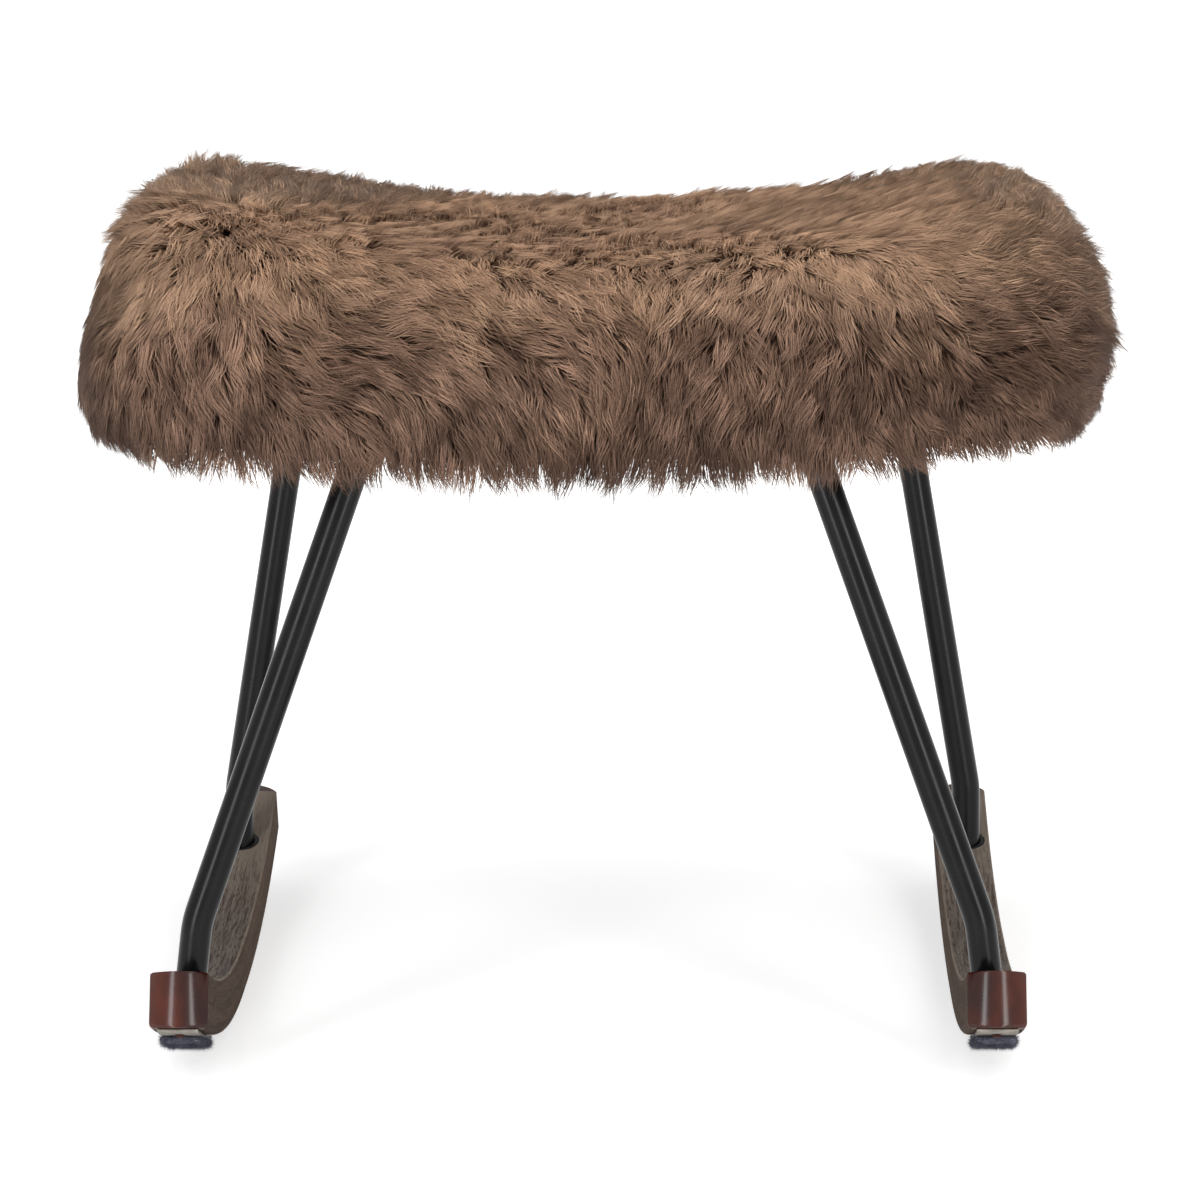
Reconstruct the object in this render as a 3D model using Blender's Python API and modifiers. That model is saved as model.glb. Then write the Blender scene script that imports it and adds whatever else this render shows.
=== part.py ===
"""Rocking footstool: a fur-covered saddle seat on four bent steel tubes and two curved wooden rockers.

Units are metres, +Z is up, the user sits behind the far side (+Y) and the origin is on the floor
under the middle of the seat. The whole stool rocks as one piece; nothing on it moves by itself.
"""
import math

import bmesh
import bpy
from mathutils import Matrix, Vector

# Gap that touching pieces keep to each other
clearance = 0.0003

# Rockers: two arcs that meet in a short flat, which keeps the stool still until it is pushed
rocker_spacing = 0.4168
rocker_width = 0.030
rocker_thickness = 0.029
tip_reach = 0.200
tail_reach = 0.205
rest_along = -0.006
rest_flat = 0.024
front_radius = 0.414
rear_radius = 0.588
nose_bulge = 0.007
nose_squareness = 2.6
rocker_foot_round = 0.003
rocker_top_chamfer = 0.0010

# Leg tubes: where each stands on its rocker, the lean of its stub, and how far its head lies in from
# the seat board's side and end edges
tube_radius = 0.008
tube_wall = 0.0015
bend_radius = 0.060
front_leg = {
    "along": -0.1631,
    "outboard": -0.0039,
    "stub": 0.029,
    "stub_in": 6.8,
    "stub_back": 5.6,
    "head_from_side": 0.129,
    "head_from_end": 0.068,
}
rear_leg = {
    "along": 0.1360,
    "outboard": 0.0014,
    "stub": 0.032,
    "stub_in": 0.5,
    "stub_back": 2.5,
    "head_from_side": 0.072,
    "head_from_end": 0.026,
}

# Sockets in the rockers: plastic bush, threaded insert and the bolt from beneath
bush_wall = 0.0022
bush_floor = 0.0020
socket_depth = 0.0170
insert_length = 0.018
bolt_radius = 0.0029
bolt_head_radius = 0.0050
bolt_head_height = 0.0045
bolt_web = 0.0050
bolt_reach = 0.013
bolt_point = 0.0010
bolt_head_room = 0.0010
insert_raise = 0.0005
bush_spare = 0.0120

# Glide pads under the tips and tails
pad_width = 0.0215
pad_plate_thickness = 0.0016
felt_thickness = 0.0055
pad_setback = 0.0035
pad_bare_length = 0.0150
felt_length = 0.048
pad_screw_along = 0.0105
pad_screw_radius = 0.0012
pad_screw_length = 0.012
pad_screw_point = 0.0030
pad_screw_head = 0.0026
pad_screw_head_height = 0.0015
felt_edge = 0.0012

# Seat: heights below are measured from its widest line, the plane about which the seat is tilted
seat_height = 0.370
seat_tilt = -3.0
seat_sag_radius = 1.10
board_half_width = 0.238
board_half_depth = 0.180
board_thickness = 0.012
board_drop = 0.032
plan_squareness = 5.0
dust_cover_thickness = 0.0012
dust_cover_margin = 0.014
board_strip = 0.020

# Steel bars that join each pair of legs and carry the board
bar_thickness = 0.004
bar_width = 0.024
bar_overhang = 0.016
bar_bolt_from_leg = 0.026
bar_bolt_spacing = 0.045
bar_bolt_radius = 0.0029
bar_bolt_head_radius = 0.0058
bar_bolt_head_height = 0.0034
bar_bolt_tip_depth = 0.0005
tee_nut_barrel = 0.0044
tee_nut_flange = 0.0090
tee_nut_flange_thickness = 0.0012
tee_nut_sunk = 0.0010
tee_nut_depth = 0.0095

# Upholstery: foam pad inside a long-haired cover, measured to the mean surface of the hair
cushion_half_width = 0.266
cushion_half_depth = 0.205
hair_thickness = 0.020
hem_drop = 0.057
crown_height = 0.055
crown_rise = 0.004
crown_follow = 1.4
shoulder = 0.052
hem_tuck = 0.016
end_slope = 1.30
hem_follow = 0.25
cover_turn_under = 0.010

# How far the cutters run past what they cut
cutter_reach = 0.040

# Fineness of the meshes
plan_points = 40
shoulder_steps = 5
crown_rings = 5
hem_steps = 3
nose_steps = 5
arc_steps = 12
bend_steps = 4
bar_end_steps = 8
round_steps = 16
small_round_steps = 12

# Colours as linear RGB, roughness, metallic
finishes = {
    "fur": ((0.155, 0.098, 0.068), 0.95, 0.0),
    "foam": ((0.75, 0.70, 0.52), 0.95, 0.0),
    "plywood": ((0.50, 0.34, 0.19), 0.70, 0.0),
    "dust_cloth": ((0.012, 0.012, 0.013), 0.95, 0.0),
    "black_steel": ((0.010, 0.010, 0.011), 0.42, 0.0),
    "black_plastic": ((0.008, 0.008, 0.008), 0.55, 0.0),
    "walnut": ((0.085, 0.055, 0.036), 0.48, 0.0),
    "zinc": ((0.55, 0.55, 0.56), 0.38, 1.0),
    "pad_plate": ((0.42, 0.38, 0.34), 0.55, 0.0),
    "felt": ((0.062, 0.066, 0.092), 1.0, 0.0),
}

rocker_x = rocker_spacing / 2
bush_radius = tube_radius + clearance + bush_wall
bush_hole_radius = bush_radius + clearance
board_underside = -board_drop
board_top = board_underside + board_thickness
bar_top = board_underside - dust_cover_thickness - 2 * clearance
bar_underside = bar_top - bar_thickness
seat_place = Matrix.Translation((0, 0, seat_height)) @ Matrix.Rotation(math.radians(seat_tilt), 4, "X")
sides = {"left": -1, "right": 1}
ends = {"front": front_leg, "rear": rear_leg}


def clear_scene():
    for thing in list(bpy.data.objects):
        bpy.data.objects.remove(thing, do_unlink=True)


def new_collection(name):
    collection = bpy.data.collections.new(name)
    bpy.context.scene.collection.children.link(collection)
    return collection


def finish_material(name):
    material = bpy.data.materials.get(name)
    if material is None:
        colour, roughness, metallic = finishes[name]
        material = bpy.data.materials.new(name)
        material.use_nodes = True
        shader = material.node_tree.nodes["Principled BSDF"]
        shader.inputs["Base Color"].default_value = (*colour, 1.0)
        shader.inputs["Roughness"].default_value = roughness
        shader.inputs["Metallic"].default_value = metallic
        material.diffuse_color = (*colour, 1.0)
    return material


def add_part(name, mesh, finish, place=None):
    """An object in the parts collection, at a matrix where its mesh is shared by several."""
    part = bpy.data.objects.new(name, mesh)
    parts.objects.link(part)
    if place:
        part.matrix_world = place
    mesh.materials.clear()
    mesh.materials.append(finish_material(finish))
    mesh.shade_smooth()
    mesh.set_sharp_from_angle(angle=math.radians(35))
    return part


def add_cutter(name, mesh):
    cutter = bpy.data.objects.new(name, mesh)
    cutters.objects.link(cutter)
    cutter.hide_render = True
    cutter.display_type = "WIRE"
    return cutter


def cut(part, cutter):
    boolean = part.modifiers.new(cutter.name, "BOOLEAN")
    boolean.operation = "DIFFERENCE"
    boolean.solver = "EXACT"
    boolean.object = cutter
    return boolean


def mesh_from(name, build):
    """A mesh made by build(bm), its faces turned outwards."""
    bm = bmesh.new()
    build(bm)
    bmesh.ops.recalc_face_normals(bm, faces=bm.faces)
    if bm.calc_volume(signed=True) < 0:
        bmesh.ops.reverse_faces(bm, faces=bm.faces)
    mesh = bpy.data.meshes.new(name)
    bm.to_mesh(mesh)
    bm.free()
    return mesh


def evaluated_mesh(thing, name):
    """The evaluated mesh of an object in world space; the object itself is removed."""
    graph = bpy.context.evaluated_depsgraph_get()
    mesh = bpy.data.meshes.new_from_object(thing.evaluated_get(graph))
    mesh.name = name
    mesh.transform(thing.matrix_world)
    bpy.data.objects.remove(thing, do_unlink=True)
    return mesh


def loft(bm, rings):
    """Skins rings of equal length with quads and closes its ends; a ring of one point is a pole."""
    rows = [[bm.verts.new(point) for point in ring] for ring in rings]
    for low, high in zip(rows, rows[1:]):
        count = max(len(low), len(high))
        for i in range(count):
            j = (i + 1) % count
            if len(low) == 1:
                bm.faces.new((low[0], high[i], high[j]))
            elif len(high) == 1:
                bm.faces.new((low[i], low[j], high[0]))
            else:
                bm.faces.new((low[i], low[j], high[j], high[i]))
    for row in (rows[0], rows[-1]):
        if len(row) > 1:
            bm.faces.new(row)


def turned_mesh(name, profile, steps=round_steps):
    """A solid turned about Z. The profile is (radius, height) pairs down the outer side, and it
    ends on the axis or closes on itself round a bore."""
    bore = all(radius > 0 for radius, height in profile)

    def build(bm):
        points = [bm.verts.new((radius, 0, height)) for radius, height in profile]
        for a, b in zip(points, points[1:]):
            bm.edges.new((a, b))
        if bore:
            bm.edges.new((points[-1], points[0]))

    outline = bpy.data.objects.new(name, mesh_from(name, build))
    parts.objects.link(outline)
    screw = outline.modifiers.new("Turn", "SCREW")
    screw.steps = steps
    screw.render_steps = steps
    screw.use_merge_vertices = True
    screw.merge_threshold = 0.00001
    mesh = evaluated_mesh(outline, name)

    def tidy(bm):
        bm.from_mesh(mesh)
        bmesh.ops.remove_doubles(bm, verts=bm.verts, dist=0.00001)

    return mesh_from(name, tidy)


def copies(name, mesh, places):
    """One mesh holding a separate body of the given mesh at each matrix."""

    def build(bm):
        for place in places:
            body = mesh.copy()
            body.transform(place)
            bm.from_mesh(body)
            bpy.data.meshes.remove(body)

    return mesh_from(name, build)


def cylinder_profile(radius, low, high):
    return [(0, high), (radius, high), (radius, low), (0, low)]


def sag(x):
    """Rise of the saddle at a distance across the stool."""
    return x * x / (2 * seat_sag_radius)


def underside(distance):
    """Place, height and slope of the rocker's foot, at a distance along it from the rest flat's
    middle."""
    beyond = abs(distance) - rest_flat / 2
    if beyond <= 0:
        return rest_along + distance, 0.0, 0.0
    way = math.copysign(1, distance)
    radius = front_radius if distance < 0 else rear_radius
    turn = beyond / radius
    along = rest_along + way * (rest_flat / 2 + radius * math.sin(turn))
    return along, radius * (1 - math.cos(turn)), way * turn


def on_rocker(distance, height):
    """A point at a height above the foot, measured square to it, as (y, z)."""
    along, rise, slope = underside(distance)
    return along - height * math.sin(slope), rise + height * math.cos(slope)


def distance_at(along, height):
    """The distance along the foot of the point at a height whose y is given."""
    ahead = along - rest_along
    beyond = abs(ahead) - rest_flat / 2
    if beyond <= 0:
        return ahead
    radius = front_radius if ahead < 0 else rear_radius
    turned = radius * math.asin(beyond / (radius - height))
    return math.copysign(rest_flat / 2 + turned, ahead)


tip_distance = distance_at(-tip_reach, 0)
tail_distance = distance_at(tail_reach, 0)


def strip_stations(start, stop):
    """Distances along the foot, with one on each end of the rest flat."""
    step = (tail_distance - tip_distance) / (2 * arc_steps)
    inner = [k * step for k in range(-2 * arc_steps, 2 * arc_steps + 1)]
    flat = (-rest_flat / 2, rest_flat / 2)
    inner = [d for d in inner if abs(abs(d) - rest_flat / 2) > step / 2 and abs(d) > rest_flat / 2]
    kept = [d for d in [*inner, *flat] if start + step / 3 < d < stop - step / 3]
    return [start, *sorted(kept), stop]


def rocker_section(half_width):
    """Outline across the rocker: rounded foot edges, chamfered top edges, as (x, height)."""
    foot = min(rocker_foot_round, 0.6 * half_width)
    top = min(rocker_top_chamfer, 0.5 * half_width)
    right = []
    for k in range(4):
        turn = math.radians(30 * k)
        right.append((half_width - foot + foot * math.sin(turn), foot - foot * math.cos(turn)))
    right += [(half_width, rocker_thickness - top), (half_width - top, rocker_thickness)]
    return right + [(-x, height) for x, height in reversed(right)]


def rocker_stations():
    """Distance and half width of each section. Both ends bulge a little in plan, with round
    corners."""
    half = rocker_width / 2
    power = 2 / nose_squareness
    nose = []
    for k in range(1, nose_steps):
        turn = math.radians(90 * k / nose_steps)
        nose.append((nose_bulge * (1 - math.cos(turn) ** power), half * math.sin(turn) ** power))
    nose.append((nose_bulge, half))
    first, last = tip_distance + nose_bulge, tail_distance - nose_bulge
    front = [(tip_distance + way, width) for way, width in nose]
    middle = [(distance, half) for distance in strip_stations(first, last)[1:-1]]
    rear = [(tail_distance - way, width) for way, width in reversed(nose)]
    return front + middle + rear


def rocker_mesh(name, side):
    def build(bm):
        rings = []
        for distance, half_width in rocker_stations():
            ring = []
            for x, height in rocker_section(half_width):
                along, rise = on_rocker(distance, height)
                ring.append((side * rocker_x + x, along, rise))
            rings.append(ring)
        loft(bm, rings)

    return mesh_from(name, build)


def foot_strip(name, side, start, stop, low, high, half_width):
    """A flat strip bent along the foot, between two heights square to it."""

    def build(bm):
        rings = []
        for distance in strip_stations(start, stop):
            ring = []
            for x, height in ((-1, low), (1, low), (1, high), (-1, high)):
                along, rise = on_rocker(distance, height)
                ring.append((side * rocker_x + x * half_width, along, rise))
            rings.append(ring)
        loft(bm, rings)

    return mesh_from(name, build)


def lean(side, lean_in, lean_back):
    """Unit vector upwards, leaning towards the middle and towards the rear by angles in degrees."""
    inward = math.tan(math.radians(lean_in))
    backward = math.tan(math.radians(lean_back))
    return Vector((-side * inward, backward, 1)).normalized()


def leg_entry(leg, side):
    """Where the tube's axis meets the rocker's top face, and the axis there."""
    distance = distance_at(leg["along"], rocker_thickness)
    along, rise = on_rocker(distance, rocker_thickness)
    entry = Vector((side * (rocker_x + leg["outboard"]), along, rise))
    return entry, lean(side, leg["stub_in"], leg["stub_back"])


def leg_head(leg, side):
    """Where the tube's axis meets the underside of its bar, in the seat's frame."""
    x = side * (board_half_width - leg["head_from_side"])
    y = math.copysign(board_half_depth - leg["head_from_end"], leg["along"])
    return Vector((x, y, bar_underside + sag(x)))


def leg_line(leg, side):
    """The middle of the tube's foot, its bend and its head."""
    entry, stub_axis = leg_entry(leg, side)
    foot = entry - stub_axis * (socket_depth - bush_floor - clearance)
    bend = entry + stub_axis * leg["stub"]
    return foot, bend, seat_place @ leg_head(leg, side)


def leg_path(leg, side, extra):
    """Points along the tube, with the bend as an arc and extra length past the bar."""
    foot, bend, head = leg_line(leg, side)
    below = (bend - foot).normalized()
    axis = (head - bend).normalized()
    turn = below.angle(axis)
    trim = bend_radius * math.tan(turn / 2)
    start, stop = bend - below * trim, bend + axis * trim
    inward = (axis - below * below.dot(axis)).normalized()
    centre = start + inward * bend_radius
    arc = []
    for k in range(bend_steps + 1):
        angle = turn * k / bend_steps
        arc.append(centre + (below * math.sin(angle) - inward * math.cos(angle)) * bend_radius)
    return [foot, *arc, stop.lerp(head, 0.5), head + axis * extra]


def tube_mesh(name, points, radius):
    """An open tube surface along the points."""
    curve = bpy.data.curves.new(name, "CURVE")
    curve.dimensions = "3D"
    curve.bevel_depth = radius
    curve.bevel_resolution = 5
    curve.use_fill_caps = False
    spline = curve.splines.new("POLY")
    spline.points.add(len(points) - 1)
    for control, point in zip(spline.points, points):
        control.co = (*point, 1)
    wire = bpy.data.objects.new(name, curve)
    parts.objects.link(wire)
    mesh = evaluated_mesh(wire, name)

    def weld(bm):
        bm.from_mesh(mesh)
        bmesh.ops.remove_doubles(bm, verts=bm.verts, dist=0.00001)

    return mesh_from(name, weld)


def axis_matrix(origin, axis):
    """A matrix that puts a turned mesh's Z along an axis through a point."""
    return Matrix.Translation(origin) @ axis.to_track_quat("Z", "Y").to_matrix().to_4x4()


def box_mesh(name, low, high):
    def build(bm):
        bmesh.ops.create_cube(bm, size=1)
        for vertex in bm.verts:
            for k in range(3):
                vertex.co[k] = low[k] if vertex.co[k] < 0 else high[k]

    return mesh_from(name, build)


def on_seat_slope(x, y, height):
    """A matrix at a point of the seat's frame, its Z square to the saddle."""
    slope = math.atan(x / seat_sag_radius)
    return Matrix.Translation((x, y, height + sag(x))) @ Matrix.Rotation(-slope, 4, "Y")


def add_leg(end, leg, side_name, side):
    """A bent tube whose head is cut to lie under its bar."""
    name = f"{end}_{side_name}_leg"
    extra = 2 * tube_radius
    part = add_part(name, tube_mesh(name, leg_path(leg, side, extra), tube_radius), "black_steel")
    wall = part.modifiers.new("Wall", "SOLIDIFY")
    wall.thickness = tube_wall
    wall.offset = -1
    wall.use_even_offset = True
    head = leg_head(leg, side)
    size = 4 * extra
    mesh = box_mesh(f"{name}_trim", (-size, -size, -clearance), (size, size, size))
    mesh.transform(seat_place @ on_seat_slope(head.x, head.y, bar_underside))
    cut(part, add_cutter(f"{name}_trim", mesh))


def socket_cutter(end, leg, side_name, side):
    """The bush's bore from above, the bolt's hole and its counterbore from below, as one body."""
    entry, axis = leg_entry(leg, side)
    web_low = -socket_depth - bolt_web
    bolt_hole = bolt_radius + 2 * clearance
    counterbore = bolt_head_radius + bolt_head_room
    profile = [
        (0, cutter_reach),
        (bush_hole_radius, cutter_reach),
        (bush_hole_radius, -socket_depth - clearance),
        (bolt_hole, -socket_depth - clearance),
        (bolt_hole, web_low),
        (counterbore, web_low),
        (counterbore, -cutter_reach),
        (0, -cutter_reach),
    ]
    mesh = turned_mesh(f"{end}_{side_name}_socket_cut", profile)
    mesh.transform(axis_matrix(entry, axis))
    return add_cutter(mesh.name, mesh)


def add_bush(end, leg, side_name, side, above_rocker):
    """Black cup that lines the socket, cut level with the rocker's top."""
    name = f"{end}_{side_name}_leg_bush"
    entry, axis = leg_entry(leg, side)
    inner = tube_radius + clearance
    hole = bolt_radius + 2 * clearance
    floor = -socket_depth + bush_floor
    profile = [
        (inner, bush_spare),
        (bush_radius, bush_spare),
        (bush_radius, -socket_depth),
        (hole, -socket_depth),
        (hole, floor),
        (inner, floor),
    ]
    mesh = turned_mesh(name, profile)
    mesh.transform(axis_matrix(entry, axis))
    cut(add_part(name, mesh, "black_plastic"), above_rocker)


def add_leg_fixings():
    """The threaded insert in each tube's foot and the bolt that pulls it into the rocker."""
    foot = -socket_depth + bush_floor + clearance
    outer = tube_radius - tube_wall - clearance
    bore = bolt_radius + clearance
    low = foot + insert_raise
    high = low + insert_length
    insert = turned_mesh("leg_insert", [(bore, high), (outer, high), (outer, low), (bore, low)])
    seat = -socket_depth - bolt_web - clearance
    tip = foot + bolt_reach
    bolt = turned_mesh(
        "leg_bolt",
        [
            (0, tip),
            (bolt_radius - bolt_point / 2, tip),
            (bolt_radius, tip - bolt_point),
            (bolt_radius, seat),
            (bolt_head_radius, seat),
            (bolt_head_radius, seat - bolt_head_height),
            (0, seat - bolt_head_height),
        ],
        small_round_steps,
    )
    for end, leg in ends.items():
        for side_name, side in sides.items():
            place = axis_matrix(*leg_entry(leg, side))
            add_part(f"{end}_{side_name}_leg_insert", insert, "zinc", place)
            add_part(f"{end}_{side_name}_leg_bolt", bolt, "zinc", place)


def pad_range(end, bare, length):
    """Start and stop along the foot of a strip that begins after the bare length."""
    if end == "front":
        start = tip_distance + pad_setback + bare
        return start, start + length
    stop = tail_distance - pad_setback - bare
    return stop - length, stop


def pad_screw_matrix(end, side):
    """Axis of a pad's screw, square to the foot and pointing into the wood."""
    middle = pad_setback + pad_screw_along
    distance = tip_distance + middle if end == "front" else tail_distance - middle
    along, rise = on_rocker(distance, 0)
    slope = underside(distance)[2]
    return Matrix.Translation((side * rocker_x, along, rise)) @ Matrix.Rotation(slope, 4, "X")


def add_pads():
    """Plate, felt and screw under each end of both rockers."""
    plate_top = -clearance
    plate_low = plate_top - pad_plate_thickness
    felt_top = plate_low - clearance
    hole = pad_screw_radius + clearance
    hole_end = pad_screw_length + clearance
    hole_outline = cylinder_profile(hole, -cutter_reach, hole_end)
    hole_mesh = turned_mesh("pad_hole", hole_outline, small_round_steps)
    seat = plate_low - clearance
    screw = turned_mesh(
        "pad_screw",
        [
            (0, pad_screw_length),
            (pad_screw_radius, pad_screw_length - pad_screw_point),
            (pad_screw_radius, seat),
            (pad_screw_head, seat),
            (pad_screw_head * 0.7, seat - pad_screw_head_height * 0.8),
            (0, seat - pad_screw_head_height),
        ],
        small_round_steps,
    )
    for end in ends:
        for side_name, side in sides.items():
            place = pad_screw_matrix(end, side)
            label = f"{end}_{side_name}"
            add_part(f"{label}_pad_screw", screw, "zinc", place)
            name = f"{label}_pad_plate"
            span = pad_range(end, 0, pad_bare_length + felt_length)
            mesh = foot_strip(name, side, *span, plate_low, plate_top, pad_width / 2)
            hole_cut = add_cutter(f"{label}_pad_hole", copies("pad_hole_cut", hole_mesh, [place]))
            cut(add_part(name, mesh, "pad_plate"), hole_cut)
            cut(bpy.data.objects[f"{side_name}_rocker"], hole_cut)
            name = f"{label}_felt_pad"
            span = pad_range(end, pad_bare_length, felt_length)
            low = felt_top - felt_thickness
            mesh = foot_strip(name, side, *span, low, felt_top, pad_width / 2)
            felt = add_part(name, mesh, "felt")
            edge = felt.modifiers.new("Soft edge", "BEVEL")
            edge.width = felt_edge
            edge.segments = 1
            edge.limit_method = "ANGLE"
            edge.angle_limit = math.radians(50)


def plan_outline(half_width, half_depth):
    """Rounded rectangle of the seat in plan."""
    outline = []
    for k in range(plan_points):
        turn = 2 * math.pi * k / plan_points
        c, s = math.cos(turn), math.sin(turn)
        reach = (abs(c) ** plan_squareness + abs(s) ** plan_squareness) ** (-1 / plan_squareness)
        outline.append((half_width * c * reach, half_depth * s * reach))
    return outline


def bend_lines(outline):
    """Places across X where a plate is creased: each point of its outline, and even steps between."""
    own = sorted({round(x, 6) for x, y in outline})
    strips = math.floor(own[-1] / board_strip)
    even = [k * board_strip for k in range(-strips, strips + 1)]
    return own + [x for x in even if min(abs(x - place) for place in own) > board_strip / 4]


def bent_plate(name, outline, low, high):
    """A flat outline between two heights, creased in strips across X and bent to the saddle."""
    curve = bpy.data.curves.new(name, "CURVE")
    curve.dimensions = "2D"
    curve.fill_mode = "BOTH"
    curve.extrude = (high - low) / 2
    spline = curve.splines.new("POLY")
    spline.points.add(len(outline) - 1)
    spline.use_cyclic_u = True
    for control, (x, y) in zip(spline.points, outline):
        control.co = (x, y, 0, 1)
    flat = bpy.data.objects.new(name, curve)
    parts.objects.link(flat)
    mesh = evaluated_mesh(flat, name)

    def bend(bm):
        bm.from_mesh(mesh)
        bmesh.ops.remove_doubles(bm, verts=bm.verts, dist=0.00001)
        bmesh.ops.dissolve_limit(bm, angle_limit=0.01, verts=bm.verts, edges=bm.edges)
        for x in bend_lines(outline):
            everything = [*bm.verts, *bm.edges, *bm.faces]
            bmesh.ops.bisect_plane(
                bm, geom=everything, dist=0.00001, plane_co=(x, 0, 0), plane_no=(1, 0, 0)
            )
        for vertex in bm.verts:
            vertex.co.z += (low + high) / 2 + sag(vertex.co.x)

    return mesh_from(name, bend)


def bar_outline(half_length, along):
    """A strip with half-round ends."""
    half = bar_width / 2
    outline = []
    for way in (1, -1):
        for k in range(bar_end_steps + 1):
            turn = math.radians(-90 + 180 * k / bar_end_steps)
            x = way * (half_length - half + half * math.cos(turn))
            outline.append((x, along + way * half * math.sin(turn)))
    return outline


def bar_bolt_places():
    """A name and a place in the seat's frame for each bolt through the bars, from left to right.
    Heights along a bolt count from its bar's underside."""
    places = {}
    for end, leg in ends.items():
        head = leg_head(leg, 1)
        outer = head.x - bar_bolt_from_leg
        inner = outer - bar_bolt_spacing
        for number, x in enumerate((-outer, -inner, inner, outer), 1):
            places[f"{end}_bar_{number}"] = on_seat_slope(x, head.y, bar_underside)
    return places


def add_seat_frame():
    """Board, dust cover, the two bars, and the bolts and tee nuts that clamp them."""
    places = bar_bolt_places()
    nut_top = board_top - bar_underside - tee_nut_sunk
    flange_low = nut_top - tee_nut_flange_thickness
    bore = bar_bolt_radius + clearance
    head_top = -clearance
    head_low = head_top - bar_bolt_head_height

    hole_outline = cylinder_profile(bore, -cutter_reach, cutter_reach)
    through = turned_mesh("bolt_hole", hole_outline, small_round_steps)
    bolt_holes = copies("bar_bolt_holes", through, places.values())
    recess = turned_mesh(
        "tee_nut_recess",
        [
            (0, cutter_reach),
            (tee_nut_flange + clearance, cutter_reach),
            (tee_nut_flange + clearance, flange_low - clearance),
            (tee_nut_barrel + clearance, flange_low - clearance),
            (tee_nut_barrel + clearance, -cutter_reach),
            (0, -cutter_reach),
        ],
        small_round_steps,
    )
    recesses = copies("tee_nut_recesses", recess, places.values())
    for mesh in (bolt_holes, recesses):
        mesh.transform(seat_place)
    bolt_holes = add_cutter("bar_bolt_holes", bolt_holes)
    recesses = add_cutter("tee_nut_recesses", recesses)

    outline = plan_outline(board_half_width, board_half_depth)
    board = bent_plate("seat_board", outline, board_underside, board_top)
    cut(add_part("seat_board", board, "plywood", seat_place), recesses)

    half_width = board_half_width - dust_cover_margin
    half_depth = board_half_depth - dust_cover_margin
    cloth_top = board_underside - clearance
    cloth_low = cloth_top - dust_cover_thickness
    cloth = bent_plate("dust_cover", plan_outline(half_width, half_depth), cloth_low, cloth_top)
    cut(add_part("dust_cover", cloth, "dust_cloth", seat_place), bolt_holes)

    for end, leg in ends.items():
        name = f"{end}_cross_bar"
        head = leg_head(leg, 1)
        outline = bar_outline(head.x + bar_overhang, head.y)
        bar = bent_plate(name, outline, bar_underside, bar_top)
        cut(add_part(name, bar, "black_steel", seat_place), bolt_holes)

    tee_nut = turned_mesh(
        "tee_nut",
        [
            (bore, nut_top),
            (tee_nut_flange, nut_top),
            (tee_nut_flange, flange_low),
            (tee_nut_barrel, flange_low),
            (tee_nut_barrel, nut_top - tee_nut_depth),
            (bore, nut_top - tee_nut_depth),
        ],
        small_round_steps,
    )
    bolt = turned_mesh(
        "bar_bolt",
        [
            (0, nut_top - bar_bolt_tip_depth),
            (bar_bolt_radius, nut_top - bar_bolt_tip_depth - bolt_point),
            (bar_bolt_radius, head_top),
            (bar_bolt_head_radius, head_top),
            (bar_bolt_head_radius * 0.92, head_top - bar_bolt_head_height * 0.6),
            (bar_bolt_head_radius * 0.55, head_low),
            (0, head_low),
        ],
        small_round_steps,
    )
    for label, place in places.items():
        add_part(f"{label}_bolt", bolt, "zinc", seat_place @ place)
        add_part(f"{label}_tee_nut", tee_nut, "zinc", seat_place @ place)


def seat_ring(half_width, half_depth, height, follow=1.0):
    """A ring of the upholstery. Follow is how far it rises with the saddle: hair on the ends hangs
    down, so the outer rings rise less than the foam."""
    return [(x, y, height + follow * sag(x)) for x, y in plan_outline(half_width, half_depth)]


def upper_rings(inset, hanging):
    """Rings from the widest line up over the shoulder to the crown's middle."""
    width, depth = cushion_half_width - inset, cushion_half_depth - inset
    turn_in = shoulder - inset / 2
    crown_edge = crown_height - crown_rise - inset
    rings = []
    for k in range(shoulder_steps + 1):
        turn = math.radians(90 * k / shoulder_steps)
        inward = turn_in * (1 - math.cos(turn))
        follow = crown_follow * math.sin(turn)
        if not hanging:
            follow = 1 + (crown_follow - 1) * math.sin(turn)
        height = crown_edge * math.sin(turn)
        rings.append(seat_ring(width - end_slope * inward, depth - inward, height, follow))
    width, depth = width - end_slope * turn_in, depth - turn_in
    for k in range(1, crown_rings):
        share = 1 - k / crown_rings
        height = crown_edge + crown_rise * (1 - share * share)
        rings.append(seat_ring(width * share, depth * share, height, crown_follow))
    rings.append([(0, 0, crown_edge + crown_rise)])
    return rings


def add_foam():
    """The pad on the board."""
    bottom = board_top + clearance
    rings = [[(0, 0, bottom)]]
    for k in range(1, crown_rings + 1):
        share = k / crown_rings
        rings.append(seat_ring(board_half_width * share, board_half_depth * share, bottom))
    rings += upper_rings(hair_thickness + clearance, False)
    foam = mesh_from("foam_pad", lambda bm: loft(bm, rings))
    add_part("foam_pad", foam, "foam", seat_place)


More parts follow.
